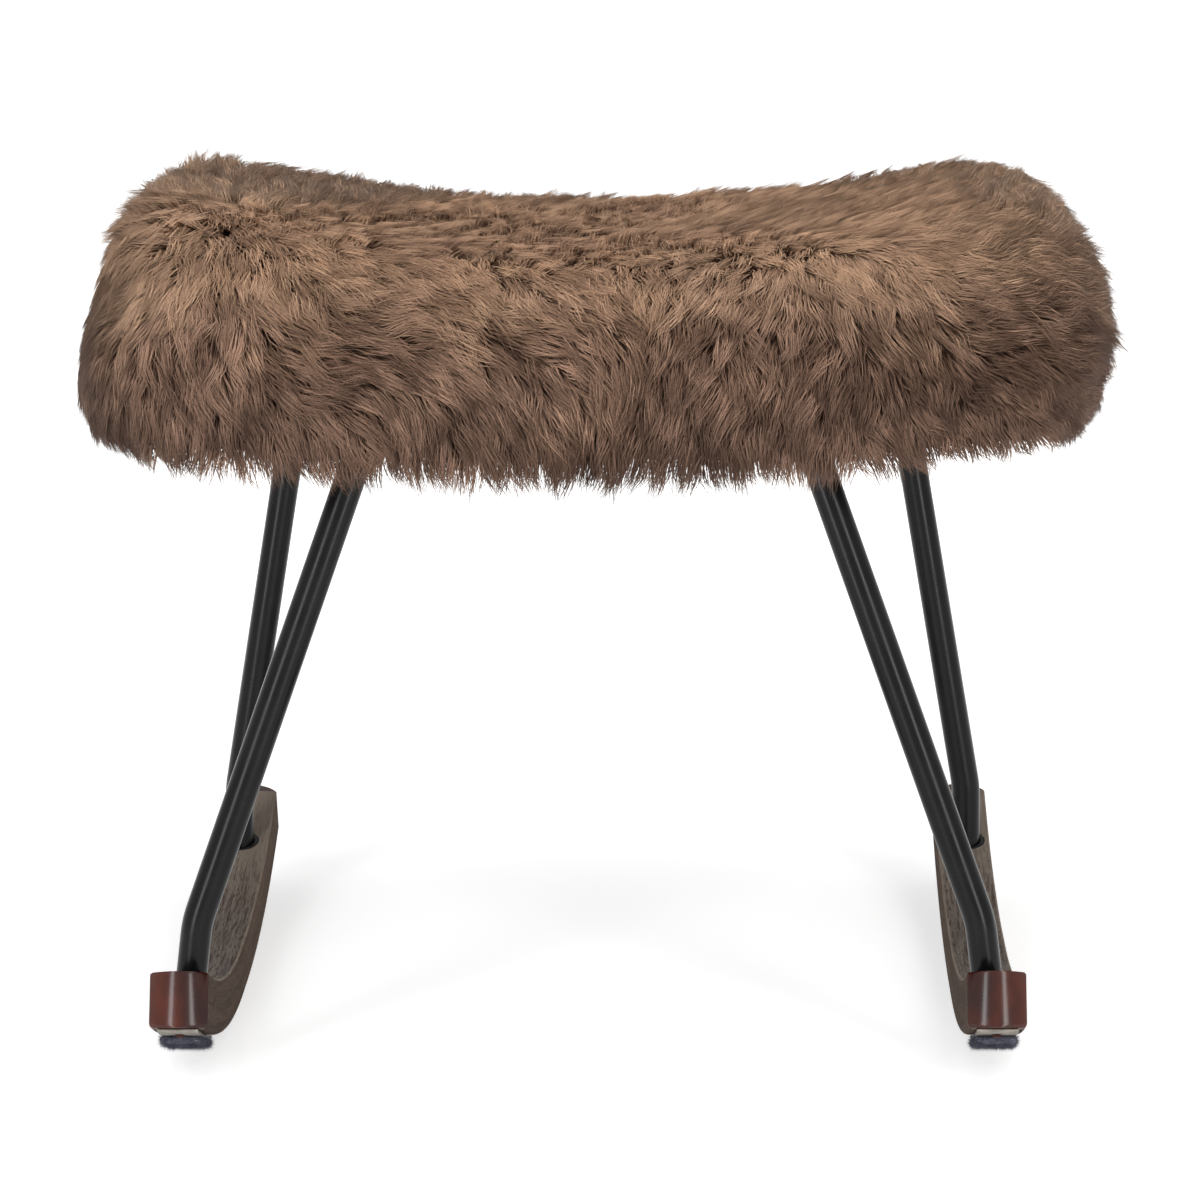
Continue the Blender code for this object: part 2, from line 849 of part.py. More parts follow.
def add_fur_cover():
    """The cover with its hair: over the foam and round the board's edge, with its backing turned
    under the board and hair hanging below its rim."""
    board_width, board_depth = board_half_width + clearance, board_half_depth + clearance
    rim_width = board_half_width - cover_turn_under
    rim_depth = board_half_depth - cover_turn_under
    under = board_underside - clearance
    backing = under - dust_cover_thickness
    rings = list(reversed(upper_rings(0, True)))
    for k in range(1, hem_steps + 1):
        turn = math.radians(90 * k / hem_steps)
        inward = hem_tuck * (1 - math.cos(turn))
        height = -hem_drop * math.sin(turn)
        follow = hem_follow * math.sin(turn)
        width, depth = cushion_half_width - inward, cushion_half_depth - inward
        rings.append(seat_ring(width, depth, height, follow))
    rings += [
        seat_ring(board_width, board_depth, backing),
        seat_ring(rim_width, rim_depth, backing),
        seat_ring(rim_width, rim_depth, under),
        seat_ring(board_width, board_depth, under),
        seat_ring(board_width, board_depth, board_top),
    ]
    rings += upper_rings(hair_thickness, False)
    cover = mesh_from("fur_cover", lambda bm: loft(bm, rings))
    add_part("fur_cover", cover, "fur", seat_place)


clear_scene()
parts = new_collection("Rocking footstool")
cutters = new_collection("Cutters")

for side_name, side in sides.items():
    rocker = add_part(f"{side_name}_rocker", rocker_mesh(f"{side_name}_rocker", side), "walnut")
    span = (tip_distance, tail_distance, rocker_thickness, rocker_thickness + cutter_reach)
    above = foot_strip(f"{side_name}_space_above", side, *span, rocker_width)
    above_rocker = add_cutter(above.name, above)
    for end, leg in ends.items():
        cut(rocker, socket_cutter(end, leg, side_name, side))
        add_bush(end, leg, side_name, side, above_rocker)
        add_leg(end, leg, side_name, side)
add_leg_fixings()
add_pads()
add_seat_frame()
add_foam()
add_fur_cover()
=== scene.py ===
import math

import bmesh
import bpy
import numpy as np
from mathutils import Matrix, Vector


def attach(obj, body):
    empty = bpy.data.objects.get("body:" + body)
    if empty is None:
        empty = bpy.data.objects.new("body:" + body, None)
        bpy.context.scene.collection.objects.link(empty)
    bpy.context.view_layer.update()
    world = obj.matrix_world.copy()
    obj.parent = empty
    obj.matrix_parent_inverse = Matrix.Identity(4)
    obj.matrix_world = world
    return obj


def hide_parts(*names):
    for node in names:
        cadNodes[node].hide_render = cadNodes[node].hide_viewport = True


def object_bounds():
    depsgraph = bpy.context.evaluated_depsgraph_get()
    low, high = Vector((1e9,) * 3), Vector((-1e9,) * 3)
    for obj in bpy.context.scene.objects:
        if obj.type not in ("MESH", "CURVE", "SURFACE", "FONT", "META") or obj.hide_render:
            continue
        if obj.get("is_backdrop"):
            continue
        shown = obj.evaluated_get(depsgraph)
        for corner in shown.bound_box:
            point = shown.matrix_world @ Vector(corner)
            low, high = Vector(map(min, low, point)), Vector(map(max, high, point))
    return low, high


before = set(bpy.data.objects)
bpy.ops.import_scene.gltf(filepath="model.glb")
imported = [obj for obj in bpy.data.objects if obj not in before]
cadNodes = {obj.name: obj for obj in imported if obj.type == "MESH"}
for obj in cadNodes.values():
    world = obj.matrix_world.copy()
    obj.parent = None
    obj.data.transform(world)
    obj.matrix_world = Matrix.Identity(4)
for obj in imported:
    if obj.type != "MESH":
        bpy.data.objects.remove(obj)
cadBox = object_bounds()
print("frame loaded:", len(cadNodes), "nodes")


# Node trees: a wire is an output that can be used in Python expressions
def operator(operation, flipped=False):
    def apply(self, other):
        return self.graph.maths(operation, *((other, self) if flipped else (self, other)))

    return apply


class Wire:
    __add__, __radd__ = operator("ADD"), operator("ADD", True)
    __sub__, __rsub__ = operator("SUBTRACT"), operator("SUBTRACT", True)
    __mul__, __truediv__, __pow__ = operator("MULTIPLY"), operator("DIVIDE"), operator("POWER")
    __lt__, __gt__ = operator("LESS_THAN"), operator("GREATER_THAN")

    def __init__(self, graph, socket):
        self.graph = graph
        self.socket = socket


class Made:
    def __init__(self, graph, node):
        self.graph = graph
        self.node = node

    def __getitem__(self, key):
        return Wire(self.graph, pick(self.node.outputs, key))


def pick(sockets, key):
    if isinstance(key, int):
        return sockets[key]
    return next(s for s in sockets if s.name == key and s.enabled)


def isVector(value):
    return value.socket.type == "VECTOR" if isinstance(value, Wire) else hasattr(value, "__len__")


def linear(colour):
    # a colour's three shares, from 0 to 255 as on a screen, with its alpha
    shares = (channel / 255 for channel in colour)
    return *(c / 12.92 if c <= 0.04045 else ((c + 0.055) / 1.055) ** 2.4 for c in shares), 1


class Graph:
    def __init__(self, tree):
        self.tree = tree

    def node(self, kind, settings=None, **inputs):
        made = self.tree.nodes.new(kind)
        for key, value in (settings or {}).items():
            if key == "sockets":
                for name, given in value.items():
                    self.feed(made, name, given)
            else:
                setattr(made, key, value)
        for name, given in inputs.items():
            self.feed(made, name.replace("_", " "), given)
        return Made(self, made)

    def feed(self, made, name, given):
        socket = pick(made.inputs, name)
        if isinstance(given, Wire):
            self.tree.links.new(given.socket, socket)
        else:
            socket.default_value = given

    def maths(self, operation, *values):
        # a vector times a number is scaled
        settings = {"operation": operation, "sockets": dict(enumerate(values))}
        if not any(isVector(value) for value in values):
            return self.node("ShaderNodeMath", settings)["Value"]
        if operation == "MULTIPLY" and not isVector(values[1]):
            vector, number = values
            return self.node("ShaderNodeVectorMath", {"operation": "SCALE"}, Vector=vector, Scale=number)[0]
        made = self.node("ShaderNodeVectorMath", settings)
        return made["Value" if operation in ("LENGTH", "DOT_PRODUCT") else "Vector"]

    def blend(self, share, a, b, kind="RGBA", how="MIX"):
        settings = {"data_type": kind}
        if kind == "RGBA":
            settings["blend_type"] = how
            a, b = (linear(v) if isinstance(v, tuple) else v for v in (a, b))
        return self.node("ShaderNodeMix", settings, Factor=share, A=a, B=b)["Result"]

    def between(self, value, low, high, newLow=0.0, newHigh=1.0, smooth=True):
        settings = {"interpolation_type": "SMOOTHSTEP" if smooth else "LINEAR"}
        limits = {"From_Min": low, "From_Max": high, "To_Min": newLow, "To_Max": newHigh}
        return self.node("ShaderNodeMapRange", settings, Value=value, **limits)["Result"]

    def tint(self, value, low, high, colours):
        # from the first colour to the second as a value goes from low to high
        return self.blend(self.between(value, low, high), *colours)

    def noise(self, place, scale, detail=2.0, roughness=0.5, distortion=0.0):
        sizes = {"Scale": scale, "Detail": detail, "Roughness": roughness, "Distortion": distortion}
        return self.node("ShaderNodeTexNoise", Vector=place, **sizes)[0]

    def grain(self, place, scale, detail=3.0, roughness=0.5, distortion=0.0, turn=(0, 0, 0)):
        # noise with its own scale along each axis
        place = self.node("ShaderNodeMapping", Vector=place, Scale=scale, Rotation=turn)[0]
        return self.noise(place, 1.0, detail, roughness, distortion)

    def cells(self, place, scale):
        return self.node("ShaderNodeTexVoronoi", {"feature": "F1"}, Vector=place, Scale=scale)["Distance"]

    def split(self, vector):
        parts = self.node("ShaderNodeSeparateXYZ", Vector=vector)
        return parts[0], parts[1], parts[2]

    def vector(self, x=0.0, y=0.0, z=0.0):
        return self.node("ShaderNodeCombineXYZ", X=x, Y=y, Z=z)[0]

    def place(self):
        return self.node("ShaderNodeTexCoord")["Object"]

    def facing(self, kind="True Normal"):
        return self.split(self.node("ShaderNodeNewGeometry")[kind])

    def bump(self, height, strength, distance):
        return self.node("ShaderNodeBump", Height=height, Strength=strength, Distance=distance)["Normal"]

    def chance(self, low, high, seed):
        kind = "FLOAT_VECTOR" if isVector(low) else "FLOAT"
        settings = {"data_type": kind}
        return self.node("FunctionNodeRandomValue", settings, Min=low, Max=high, Seed=seed)["Value"]

    def named(self, name, kind="FLOAT"):
        return self.node("GeometryNodeInputNamedAttribute", {"data_type": kind}, Name=name)["Attribute"]

    def repeat(self, points, shape, **how):
        # shapes on points, made real
        shapes = self.node("GeometryNodeInstanceOnPoints", Points=points, Instance=shape, **how)[0]
        return self.node("GeometryNodeRealizeInstances", Geometry=shapes)[0]

    def close(self, geometry, material):
        geometry = self.node("GeometryNodeSetMaterial", Geometry=geometry, Material=material)[0]
        self.node("NodeGroupOutput", Geometry=geometry)


def shaderGraph(owner):
    owner.use_nodes = True
    owner.node_tree.nodes.clear()
    return Graph(owner.node_tree)


def makeMaterial(name, build, **constants):
    # build(graph) returns what varies on the Principled shader; constants are its fixed sockets
    material = bpy.data.materials.new(name)
    graph = shaderGraph(material)
    sockets = {key.replace("_", " "): value for key, value in constants.items()}
    sockets.update(build(graph))
    shader = graph.node("ShaderNodeBsdfPrincipled", {"sockets": sockets})
    graph.node("ShaderNodeOutputMaterial", Surface=shader["BSDF"])
    return material


def growthTree(name, sizes):
    # a Geometry Nodes tree with named inputs; whole numbers are counts and seeds
    tree = bpy.data.node_groups.new(name, "GeometryNodeTree")
    kinds = {key: "Int" if isinstance(value, int) else "Float" for key, value in sizes.items()}
    for key, kind in {"Geometry": "Geometry", **kinds, "Material": "Material"}.items():
        tree.interface.new_socket(key, in_out="INPUT", socket_type="NodeSocket" + kind)
    tree.interface.new_socket("Geometry", in_out="OUTPUT", socket_type="NodeSocketGeometry")
    graph = Graph(tree)
    return graph, graph.node("NodeGroupInput")


def grow(piece, tree, values):
    modifier = piece.modifiers.new("growth", "NODES")
    modifier.node_group = tree
    for socket in tree.interface.items_tree:
        if socket.in_out == "INPUT" and socket.name in values:
            modifier[socket.identifier] = values[socket.name]
    return applyModifiers(piece)


def linkObject(name, mesh):
    piece = bpy.data.objects.new(name, mesh)
    bpy.context.scene.collection.objects.link(piece)
    return piece


def meshFrom(name, build):
    bm = bmesh.new()
    build(bm)
    bmesh.ops.recalc_face_normals(bm, faces=bm.faces)
    if bm.calc_volume(signed=True) < 0:
        bmesh.ops.reverse_faces(bm, faces=bm.faces)
    mesh = bpy.data.meshes.new(name)
    bm.to_mesh(mesh)
    bm.free()
    return mesh


def loft(bm, rings, flipped=False):
    # skins rings of equal length; a ring of one point is a pole, and open ends are filled
    rows = [[bm.verts.new(point) for point in ring] for ring in rings]
    for low, high in zip(rows, rows[1:]):
        count = max(len(low), len(high))
        for i in range(count):
            j = (i + 1) % count
            first, *others = low[i % len(low)], low[j % len(low)], high[j % len(high)], high[i % len(high)]
            bm.faces.new(list(dict.fromkeys([first, *(others[::-1] if flipped else others)])))
    for row in (rows[0], rows[-1]):
        if len(row) > 1:
            bm.faces.new(row)


def closedLoft(name, rings):
    # skins rings that run round a bore, from the last back to the first
    def build(bm):
        loft(bm, [*rings, rings[0]])
        caps = [face for face in bm.faces if len(face.verts) == len(rings[0])]
        bmesh.ops.delete(bm, geom=caps, context="FACES_ONLY")
        bmesh.ops.remove_doubles(bm, verts=bm.verts, dist=1e-7)

    return meshFrom(name, build)


def circle(radius, height, steps):
    turns = [2 * math.pi * k / steps for k in range(steps)]
    return [(radius * math.cos(turn), radius * math.sin(turn), height) for turn in turns]


def turned(profile, steps, place):
    # a solid turned about Z from (radius, height) pairs that start and end on its axis
    rings = [circle(radius, height, steps) if radius else [(0, 0, height)] for radius, height in profile]
    mesh = meshFrom("turned", lambda bm: loft(bm, rings))
    mesh.transform(place)
    return mesh


def pin(radius, steps, place):
    # what cuts a small round hole
    reach = 0.01
    return turned([(0, reach), (radius, reach), (radius, -reach), (0, -reach)], steps, place)


def applyModifiers(piece):
    graph = bpy.context.evaluated_depsgraph_get()
    mesh = bpy.data.meshes.new_from_object(piece.evaluated_get(graph))
    piece.modifiers.clear()
    piece.data = mesh
    return piece


def finishPiece(piece, material, smoothAngle=None):
    piece.data.materials.clear()
    piece.data.materials.append(material)
    if smoothAngle:
        piece.data.shade_smooth()
        piece.data.set_sharp_from_angle(angle=math.radians(smoothAngle))
    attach(piece, "root")
    return piece


# Camera and studio
camera = {
    "place": (0.0669, -2.4228, 0.778),
    "pitch": 0.2269,  # radians
    "yaw": 0.0262,
    "roll": -0.0085,
    "lens": 137.99,
    "sensor": 36.0,
}
studio = {
    "worldStrength": 0.40,
    "floorColour": (0.92, 0.92, 0.92),
    "floorGlow": (0.53, 1.0),  # near the stool and far from it
    "glowReach": (0.55, 1.6),
    "lights": {
        # place, aimed at, width, height, watts, colour
        "leftStrip": ((-1.05, -1.68, 1.10), (0, 0, 1.10), 0.40, 2.16, 24, (0.96, 0.98, 1.0)),
        "rightStrip": ((1.05, -1.68, 1.10), (0, 0, 1.10), 0.40, 2.16, 24, (1.0, 0.99, 0.97)),
        "overhead": ((0.1, -0.5, 2.2), (0, 0, 0.3), 1.8, 1.5, 16, (1.0, 1.0, 1.0)),
    },
}


def addCamera():
    data = bpy.data.cameras.new("camera")
    eye = linkObject("camera", data)
    pitch, yaw, roll = camera["pitch"], camera["yaw"], camera["roll"]
    ahead = Vector((-math.sin(yaw), math.cos(yaw), 0))
    right = Vector((math.cos(yaw), math.sin(yaw), 0))
    view = ahead * math.cos(pitch) - Vector((0, 0, math.sin(pitch)))
    up = right.cross(view)
    across = right * math.cos(roll) + up * math.sin(roll)
    upward = up * math.cos(roll) - right * math.sin(roll)
    aim = Matrix((across, upward, -view)).transposed()
    eye.matrix_world = Matrix.Translation(camera["place"]) @ aim.to_4x4()
    data.lens, data.sensor_width = camera["lens"], camera["sensor"]
    data.clip_start, data.clip_end = 0.05, 60
    bpy.context.scene.camera = eye


def seenRays(graph):
    path = graph.node("ShaderNodeLightPath")
    direct = graph.maths("MAXIMUM", path["Is Camera Ray"], path["Is Transmission Ray"])
    return graph.maths("MAXIMUM", direct, path["Is Glossy Ray"])


def addStudio():
    scene = bpy.context.scene
    scene.view_settings.view_transform = "Standard"
    scene.world = bpy.data.worlds.new("studio")
    graph = shaderGraph(scene.world)
    seen = seenRays(graph)
    glow = graph.node("ShaderNodeBackground", Color=(1, 1, 1, 1), Strength=1.0)
    soft = graph.node("ShaderNodeBackground", Color=(1, 1, 1, 1), Strength=studio["worldStrength"])
    mixed = graph.node("ShaderNodeMixShader", {"sockets": {0: seen, 1: soft[0], 2: glow[0]}})
    graph.node("ShaderNodeOutputWorld", Surface=mixed[0])

    floor = linkObject("floor", meshFrom("floor", lambda bm: bmesh.ops.create_grid(bm, size=7)))
    material = bpy.data.materials.new("paleFloor")
    graph = shaderGraph(material)
    matt = graph.node("ShaderNodeBsdfDiffuse", Color=(*studio["floorColour"], 1))
    strength = graph.between(graph.maths("LENGTH", graph.place()), *studio["glowReach"], *studio["floorGlow"])
    glow = graph.node("ShaderNodeEmission", Color=(1, 1, 1, 1), Strength=seenRays(graph) * strength)
    both = graph.node("ShaderNodeAddShader", {"sockets": {0: matt[0], 1: glow[0]}})
    graph.node("ShaderNodeOutputMaterial", Surface=both[0])
    floor.data.materials.append(material)
    floor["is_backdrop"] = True

    for name, (place, aim, width, height, watts, colour) in studio["lights"].items():
        data = bpy.data.lights.new(name, "AREA")
        data.shape, data.size, data.size_y = "RECTANGLE", width, height
        data.energy, data.color = watts, colour
        lamp = linkObject(name, data)
        turn = (Vector(aim) - Vector(place)).to_track_quat("-Z", "Y")
        lamp.matrix_world = Matrix.Translation(place) @ turn.to_matrix().to_4x4()


addCamera()
addStudio()
print("camera and studio made")


# Seat: the same sizes as the solids, in the seat's own tilted frame
seat = {
    "height": 0.370,
    "tilt": -3.0,
    "sagRadius": 1.10,
    "boardHalfWidth": 0.238,
    "boardHalfDepth": 0.180,
    "boardUnderside": -0.032,
    "boardTop": -0.020,
}
seatPlace = Matrix.Translation((0, 0, seat["height"])) @ Matrix.Rotation(math.radians(seat["tilt"]), 4, "X")

cushion = {
    # to the backing under the pile, which stands a further "pileDepth" out
    "pileDepth": 0.0082,
    "halfWidth": 0.266,
    "halfDepth": 0.205,
    "crown": 0.051,
    "crownRise": 0.004,
    "crownFollow": 1.4,
    "shoulder": 0.052,
    "endSlope": 1.30,
    "hemDrop": 0.046,
    "hemTuck": 0.011,
    "hemFollow": 0.25,
    "hemThickness": 0.004,
    "hemRound": 0.001,
    "hemClear": 0.0015,
    "boardGap": 0.0004,
    "squareness": 5.0,
    "planPoints": 132,
    "crownRings": 14,
    "shoulderRings": 8,
    "sideRings": 7,
    "boardRings": 8,
    "turnUnder": 0.014,
    "clothThickness": 0.0012,
    "pressure": 4.0,
    "simFrames": 20,
    "mostSwell": 0.002,
    # the left end leans in under its top edge: how far, at what height and over what height, from
    # which place and over what run
    "leftHollow": (0.007, 0.030, 0.022, -0.19, 0.05),
}


def planRing(halfWidth, halfDepth, height, follow):
    ring = []
    for k in range(cushion["planPoints"]):
        turn = 2 * math.pi * k / cushion["planPoints"]
        c, s = math.cos(turn), math.sin(turn)
        power = cushion["squareness"]
        reach = (abs(c) ** power + abs(s) ** power) ** (-1 / power)
        x = halfWidth * c * reach
        ring.append((x, halfDepth * s * reach, height + follow * x * x / (2 * seat["sagRadius"])))
    return ring


def cushionRings():
    # from the crown's middle over the shoulder, down the side, round the hem, up to the board's
    # underside and round its edge to the middle of its top
    width, depth = cushion["halfWidth"] - cushion["pileDepth"], cushion["halfDepth"] - cushion["pileDepth"]
    crown = cushion["crown"] - cushion["pileDepth"]
    turnIn, slope = cushion["shoulder"] - cushion["pileDepth"] / 2, cushion["endSlope"]
    flatWidth, flatDepth = width - slope * turnIn, depth - turnIn
    rings = []
    for k in range(1, cushion["crownRings"]):
        share = k / cushion["crownRings"]
        height = crown + cushion["crownRise"] * (1 - share * share)
        rings.append(planRing(flatWidth * share, flatDepth * share, height, cushion["crownFollow"]))
    for k in range(cushion["shoulderRings"] + 1):
        turn = math.radians(90 * (1 - k / cushion["shoulderRings"]))
        inward = turnIn * (1 - math.cos(turn))
        height, follow = crown * math.sin(turn), cushion["crownFollow"] * math.sin(turn)
        rings.append(planRing(width - slope * inward, depth - inward, height, follow))
    for k in range(1, cushion["sideRings"] + 1):
        turn = math.radians(90 * k / cushion["sideRings"])
        inward = cushion["hemTuck"] * (1 - math.cos(turn))
        height, follow = -cushion["hemDrop"] * math.sin(turn), cushion["hemFollow"] * math.sin(turn)
        rings.append(planRing(width - inward, depth - inward, height, follow))
    thick = cushion["hemTuck"] + cushion["hemThickness"]
    rings.append(planRing(width - thick, depth - thick, height + cushion["hemRound"], follow))
    gap, edgeRound = cushion["boardGap"], cushion["hemRound"]
    halves = seat["boardHalfWidth"], seat["boardHalfDepth"]
    rimWidth, rimDepth = (half - cushion["turnUnder"] for half in halves)
    boardWidth, boardDepth = (half + gap for half in halves)
    below, above = seat["boardUnderside"] - gap, seat["boardTop"] + gap
    backing = below - cushion["clothThickness"]
    steps = [(boardWidth - edgeRound, boardDepth - edgeRound, backing), (rimWidth, rimDepth, backing)]
    steps += [(rimWidth, rimDepth, below), (boardWidth, boardDepth, below), (boardWidth, boardDepth, above)]
    boardRings = cushion["boardRings"]
    shares = [1 - k / boardRings for k in range(1, boardRings)]
    steps += [(boardWidth * share, boardDepth * share, above) for share in shares]
    rings += [planRing(wide, deep, height, 1) for wide, deep, height in steps]
    return rings, crown + cushion["crownRise"], above


def cushionMesh():
    depth, level, reach, start, run = cushion["leftHollow"]

    def hollowed(x, y, z):
        share = min(max((start - x) / run, 0), 1)
        return x + depth * math.exp(-(((z - level) / reach) ** 2)) * share, y, z

    rings, top, bottom = cushionRings()
    rings = [[hollowed(*point) for point in ring] for ring in rings]

    skin = [[(0, 0, top)], *rings, [(0, 0, bottom)]]
    mesh = meshFrom("fur_cushion", lambda bm: loft(bm, skin, flipped=True))
    held = len(rings) * cushion["planPoints"]
    freeRings = cushion["crownRings"] + cushion["shoulderRings"] + cushion["sideRings"] - 2
    return mesh, range(1 + cushion["planPoints"] * freeRings, held + 2)


def swell(piece, heldPoints):
    # cloth under pressure, pinned from just above the board's edge; a cap keeps each point near
    # where it was cut
    group = piece.vertex_groups.new(name="held")
    group.add(list(heldPoints), 1.0, "REPLACE")
    cloth = piece.modifiers.new("cloth", "CLOTH")
    cloth.settings.use_pressure = True
    cloth.settings.uniform_pressure_force = cushion["pressure"]
    cloth.settings.effector_weights.gravity = 0
    cloth.settings.vertex_group_mass = "held"
    cloth.point_cache.frame_start, cloth.point_cache.frame_end = 1, cushion["simFrames"]
    for step in range(1, cushion["simFrames"] + 1):
        bpy.context.scene.frame_set(step)
    before = pointsOf(piece.data)
    after = pointsOf(piece.evaluated_get(bpy.context.evaluated_depsgraph_get()).data)
    shift = after - before
    length = np.linalg.norm(shift, axis=1, keepdims=True)
    most = cushion["mostSwell"]
    shift *= most * np.tanh(length / most) / np.maximum(length, 1e-9)
    piece.modifiers.clear()
    piece.vertex_groups.clear()
    piece.data.vertices.foreach_set("co", (before + shift).astype(np.float32).ravel())
    bpy.context.scene.frame_set(1)


def pointsOf(mesh):
    points = np.empty(len(mesh.vertices) * 3, np.float32)
    mesh.vertices.foreach_get("co", points)
    return points.reshape(-1, 3).astype(float)


mesh, heldPoints = cushionMesh()
furCushion = linkObject("fur_cushion", mesh)
swell(furCushion, heldPoints)
furCushion.data.transform(seatPlace)
rounder = furCushion.modifiers.new("rounder", "SUBSURF")
rounder.levels = rounder.render_levels = 1
applyModifiers(furCushion)
print("cushion formed:", len(furCushion.data.vertices), "points")


# Pile: long combed hair over short underwool
combing = {
    # where the comb was set on the pile, in millimetres, and its way, in hundredths
    "strokes": (
        (-220, -27, 449, -14, 98, -10), (-201, 17, 445, -12, 99, -4), (-178, 31, 441, -17, 98, -2),
        (-153, -10, 438, 0, 100, -5), (-137, 47, 433, 12, 99, -7), (-178, -128, 447, -61, -79, 3),
        (-143, -122, 441, 63, -77, -10), (-219, -125, 447, -98, 0, -21), (-227, -141, 437, -81, 0, -59),
        (-210, -162, 435, -39, -59, -71), (-230, -164, 415, -57, 5, -82), (-241, -162, 390, -32, 20, -92),
        (-248, -153, 363, -6, 20, -98), (-238, -161, 344, 8, 42, -91), (-198, -183, 413, -52, -26, -81),
        (-213, -182, 398, -21, -11, -97), (-214, -185, 374, 7, 2, -100), (-204, -187, 349, 17, 23, -96),
        (-184, -173, 432, 23, -74, -63), (-169, -174, 434, 52, -69, -51), (-167, -194, 405, 74, -34, -58),
        (-180, -196, 393, 19, -19, -96), (-180, -198, 366, 30, -1, -95), (-159, -198, 346, 27, 20, -94),
        (-137, -201, 391, 94, -16, -31), (-138, -185, 423, 75, -46, -47), (-109, -172, 431, 65, -66, -38),
        (-108, -197, 405, 89, -21, -41), (-113, -204, 377, 98, -2, -20), (-133, -203, 362, 58, 1, -81),
        (-124, -200, 341, 14, 22, -96), (-84, -204, 367, 99, 0, -10), (-78, -202, 391, 94, -7, -33),
        (-74, -191, 414, 81, -41, -42), (-75, -167, 430, 60, -70, -39), (-98, -48, 433, 23, -97, 3),
        (-70, 7, 427, 11, -99, 4), (-94, -202, 344, -29, 22, -93), (-69, -203, 346, -33, 21, -92),
        (-54, -204, 367, 69, 1, -72), (-49, -205, 381, 96, -6, -28), (-39, -197, 405, 86, -25, -44),
        (-40, -172, 426, 47, -79, -38), (-22, -130, 429, 11, -99, 1), (-10, -190, 414, 52, -64, -57),
        (-10, -203, 391, 91, -9, -40), (5, -205, 379, 64, 2, -77), (-10, -204, 356, -29, 2, -96),
        (9, -201, 341, -36, 20, -91), (-30, -200, 336, -28, 21, -94), (19, -190, 413, 1, -75, -66),
        (29, -160, 429, 8, -99, -10), (34, -202, 395, -53, -18, -83), (39, -204, 371, -44, 2, -90),
        (39, -203, 346, -23, 21, -95), (59, -203, 391, -32, -19, -93), (59, -204, 366, 0, 2, -100),
        (68, -201, 340, 41, 21, -89), (54, -186, 418, -15, -73, -66), (69, -150, 432, 10, -99, -9),
        (84, -42, 431, 75, 66, 5), (88, -200, 400, -84, -27, -48), (88, -204, 376, -48, 1, -88),
        (98, -204, 356, 19, 3, -98), (108, -200, 340, 35, 22, -91), (98, -184, 422, 28, -68, -68),
        (118, -167, 434, 40, -84, -38), (132, -193, 413, 33, -42, -85), (127, -201, 395, -20, -18, -96),
        (147, -181, 426, 63, -51, -58), (158, -155, 442, 96, 21, 16), (171, -190, 413, -52, -39, -76),
        (176, -197, 389, -20, -19, -96), (157, -201, 375, 1, 3, -100), (147, -201, 355, 54, 9, -84),
        (172, -197, 349, 66, 26, -71), (186, -192, 403, 88, 8, -46), (202, -175, 425, 95, 32, 4),
        (188, -156, 442, 86, 47, 21), (213, -139, 445, 49, 86, 12), (236, -97, 444, 21, 98, -2),
        (206, -186, 397, 92, 35, -16), (211, -187, 377, 90, 39, -21), (231, -177, 385, 56, 65, -50),
        (237, -168, 359, 37, 61, -70), (207, -187, 352, 63, 47, -62), (248, -147, 405, 59, 77, -24),
        (261, -121, 375, 17, 95, -28), (227, -172, 339, 28, 74, -60), (192, -188, 338, 47, 44, -76),
        (134, 69, 431, 32, 95, -1), (101, 56, 428, 64, -76, 10), (47, 48, 424, 17, -98, 9),
        (5, 2, 425, 8, -100, 5), (-83, 151, 418, 7, 99, -12), (163, -17, 440, 86, 49, 14),
        (204, -40, 449, 30, 95, -3),
    ),
    "strokeReach": 0.027,
    "plainPull": 0.12,
    "sway": 0.40,
    "swayLength": 0.055,
}
pile = {
    "slices": 8,
    "hair": {
        "Strand Density": 345000.0, "Lock Density": 22000.0, "Length": 0.0235, "Width": 0.00030,
        "Lift": 0.46, "Clump": 0.62, "Stray": 0.5, "Curl": 0.26, "Segments": 2, "Seed": 11,
    },
    "underwool": {
        "Strand Density": 230000.0, "Lock Density": 22000.0, "Length": 0.017, "Width": 0.00062,
        "Lift": 0.60, "Clump": 0.35, "Stray": 0.5, "Curl": 0.25, "Segments": 1, "Seed": 23,
    },
    "lockSeed": 5,
    "wander": 0.0022,  # how far off a strand may look for its lock
    "lockTurn": 0.42,  # radians either way
    "ownTurn": 0.16,
    "lockLength": (0.72, 1.12),
    "ownLength": (0.72, 1.05),
    "liftRange": (0.75, 1.25),
    "lockDroop": (0.70, 1.10),
    "ownDroop": (0.75, 1.05),
    "ownCurl": 0.10,
    "bendAt": (0.26, 0.95),  # along and up, as shares of length and lift
    "tipAt": 0.92,
    "hold": (-0.45, -0.05, 0.0, 0.85),  # how firmly tips keep their height where the backing faces down
    "taper": 2.4,
    "thickness": (0.75, 1.2),
    "flatness": 0.6,
    "tones": (0.7, 0.19, 0.20),  # from lock to lock, from strand to strand, from the tan layer
    "warmMix": 0.55,
}
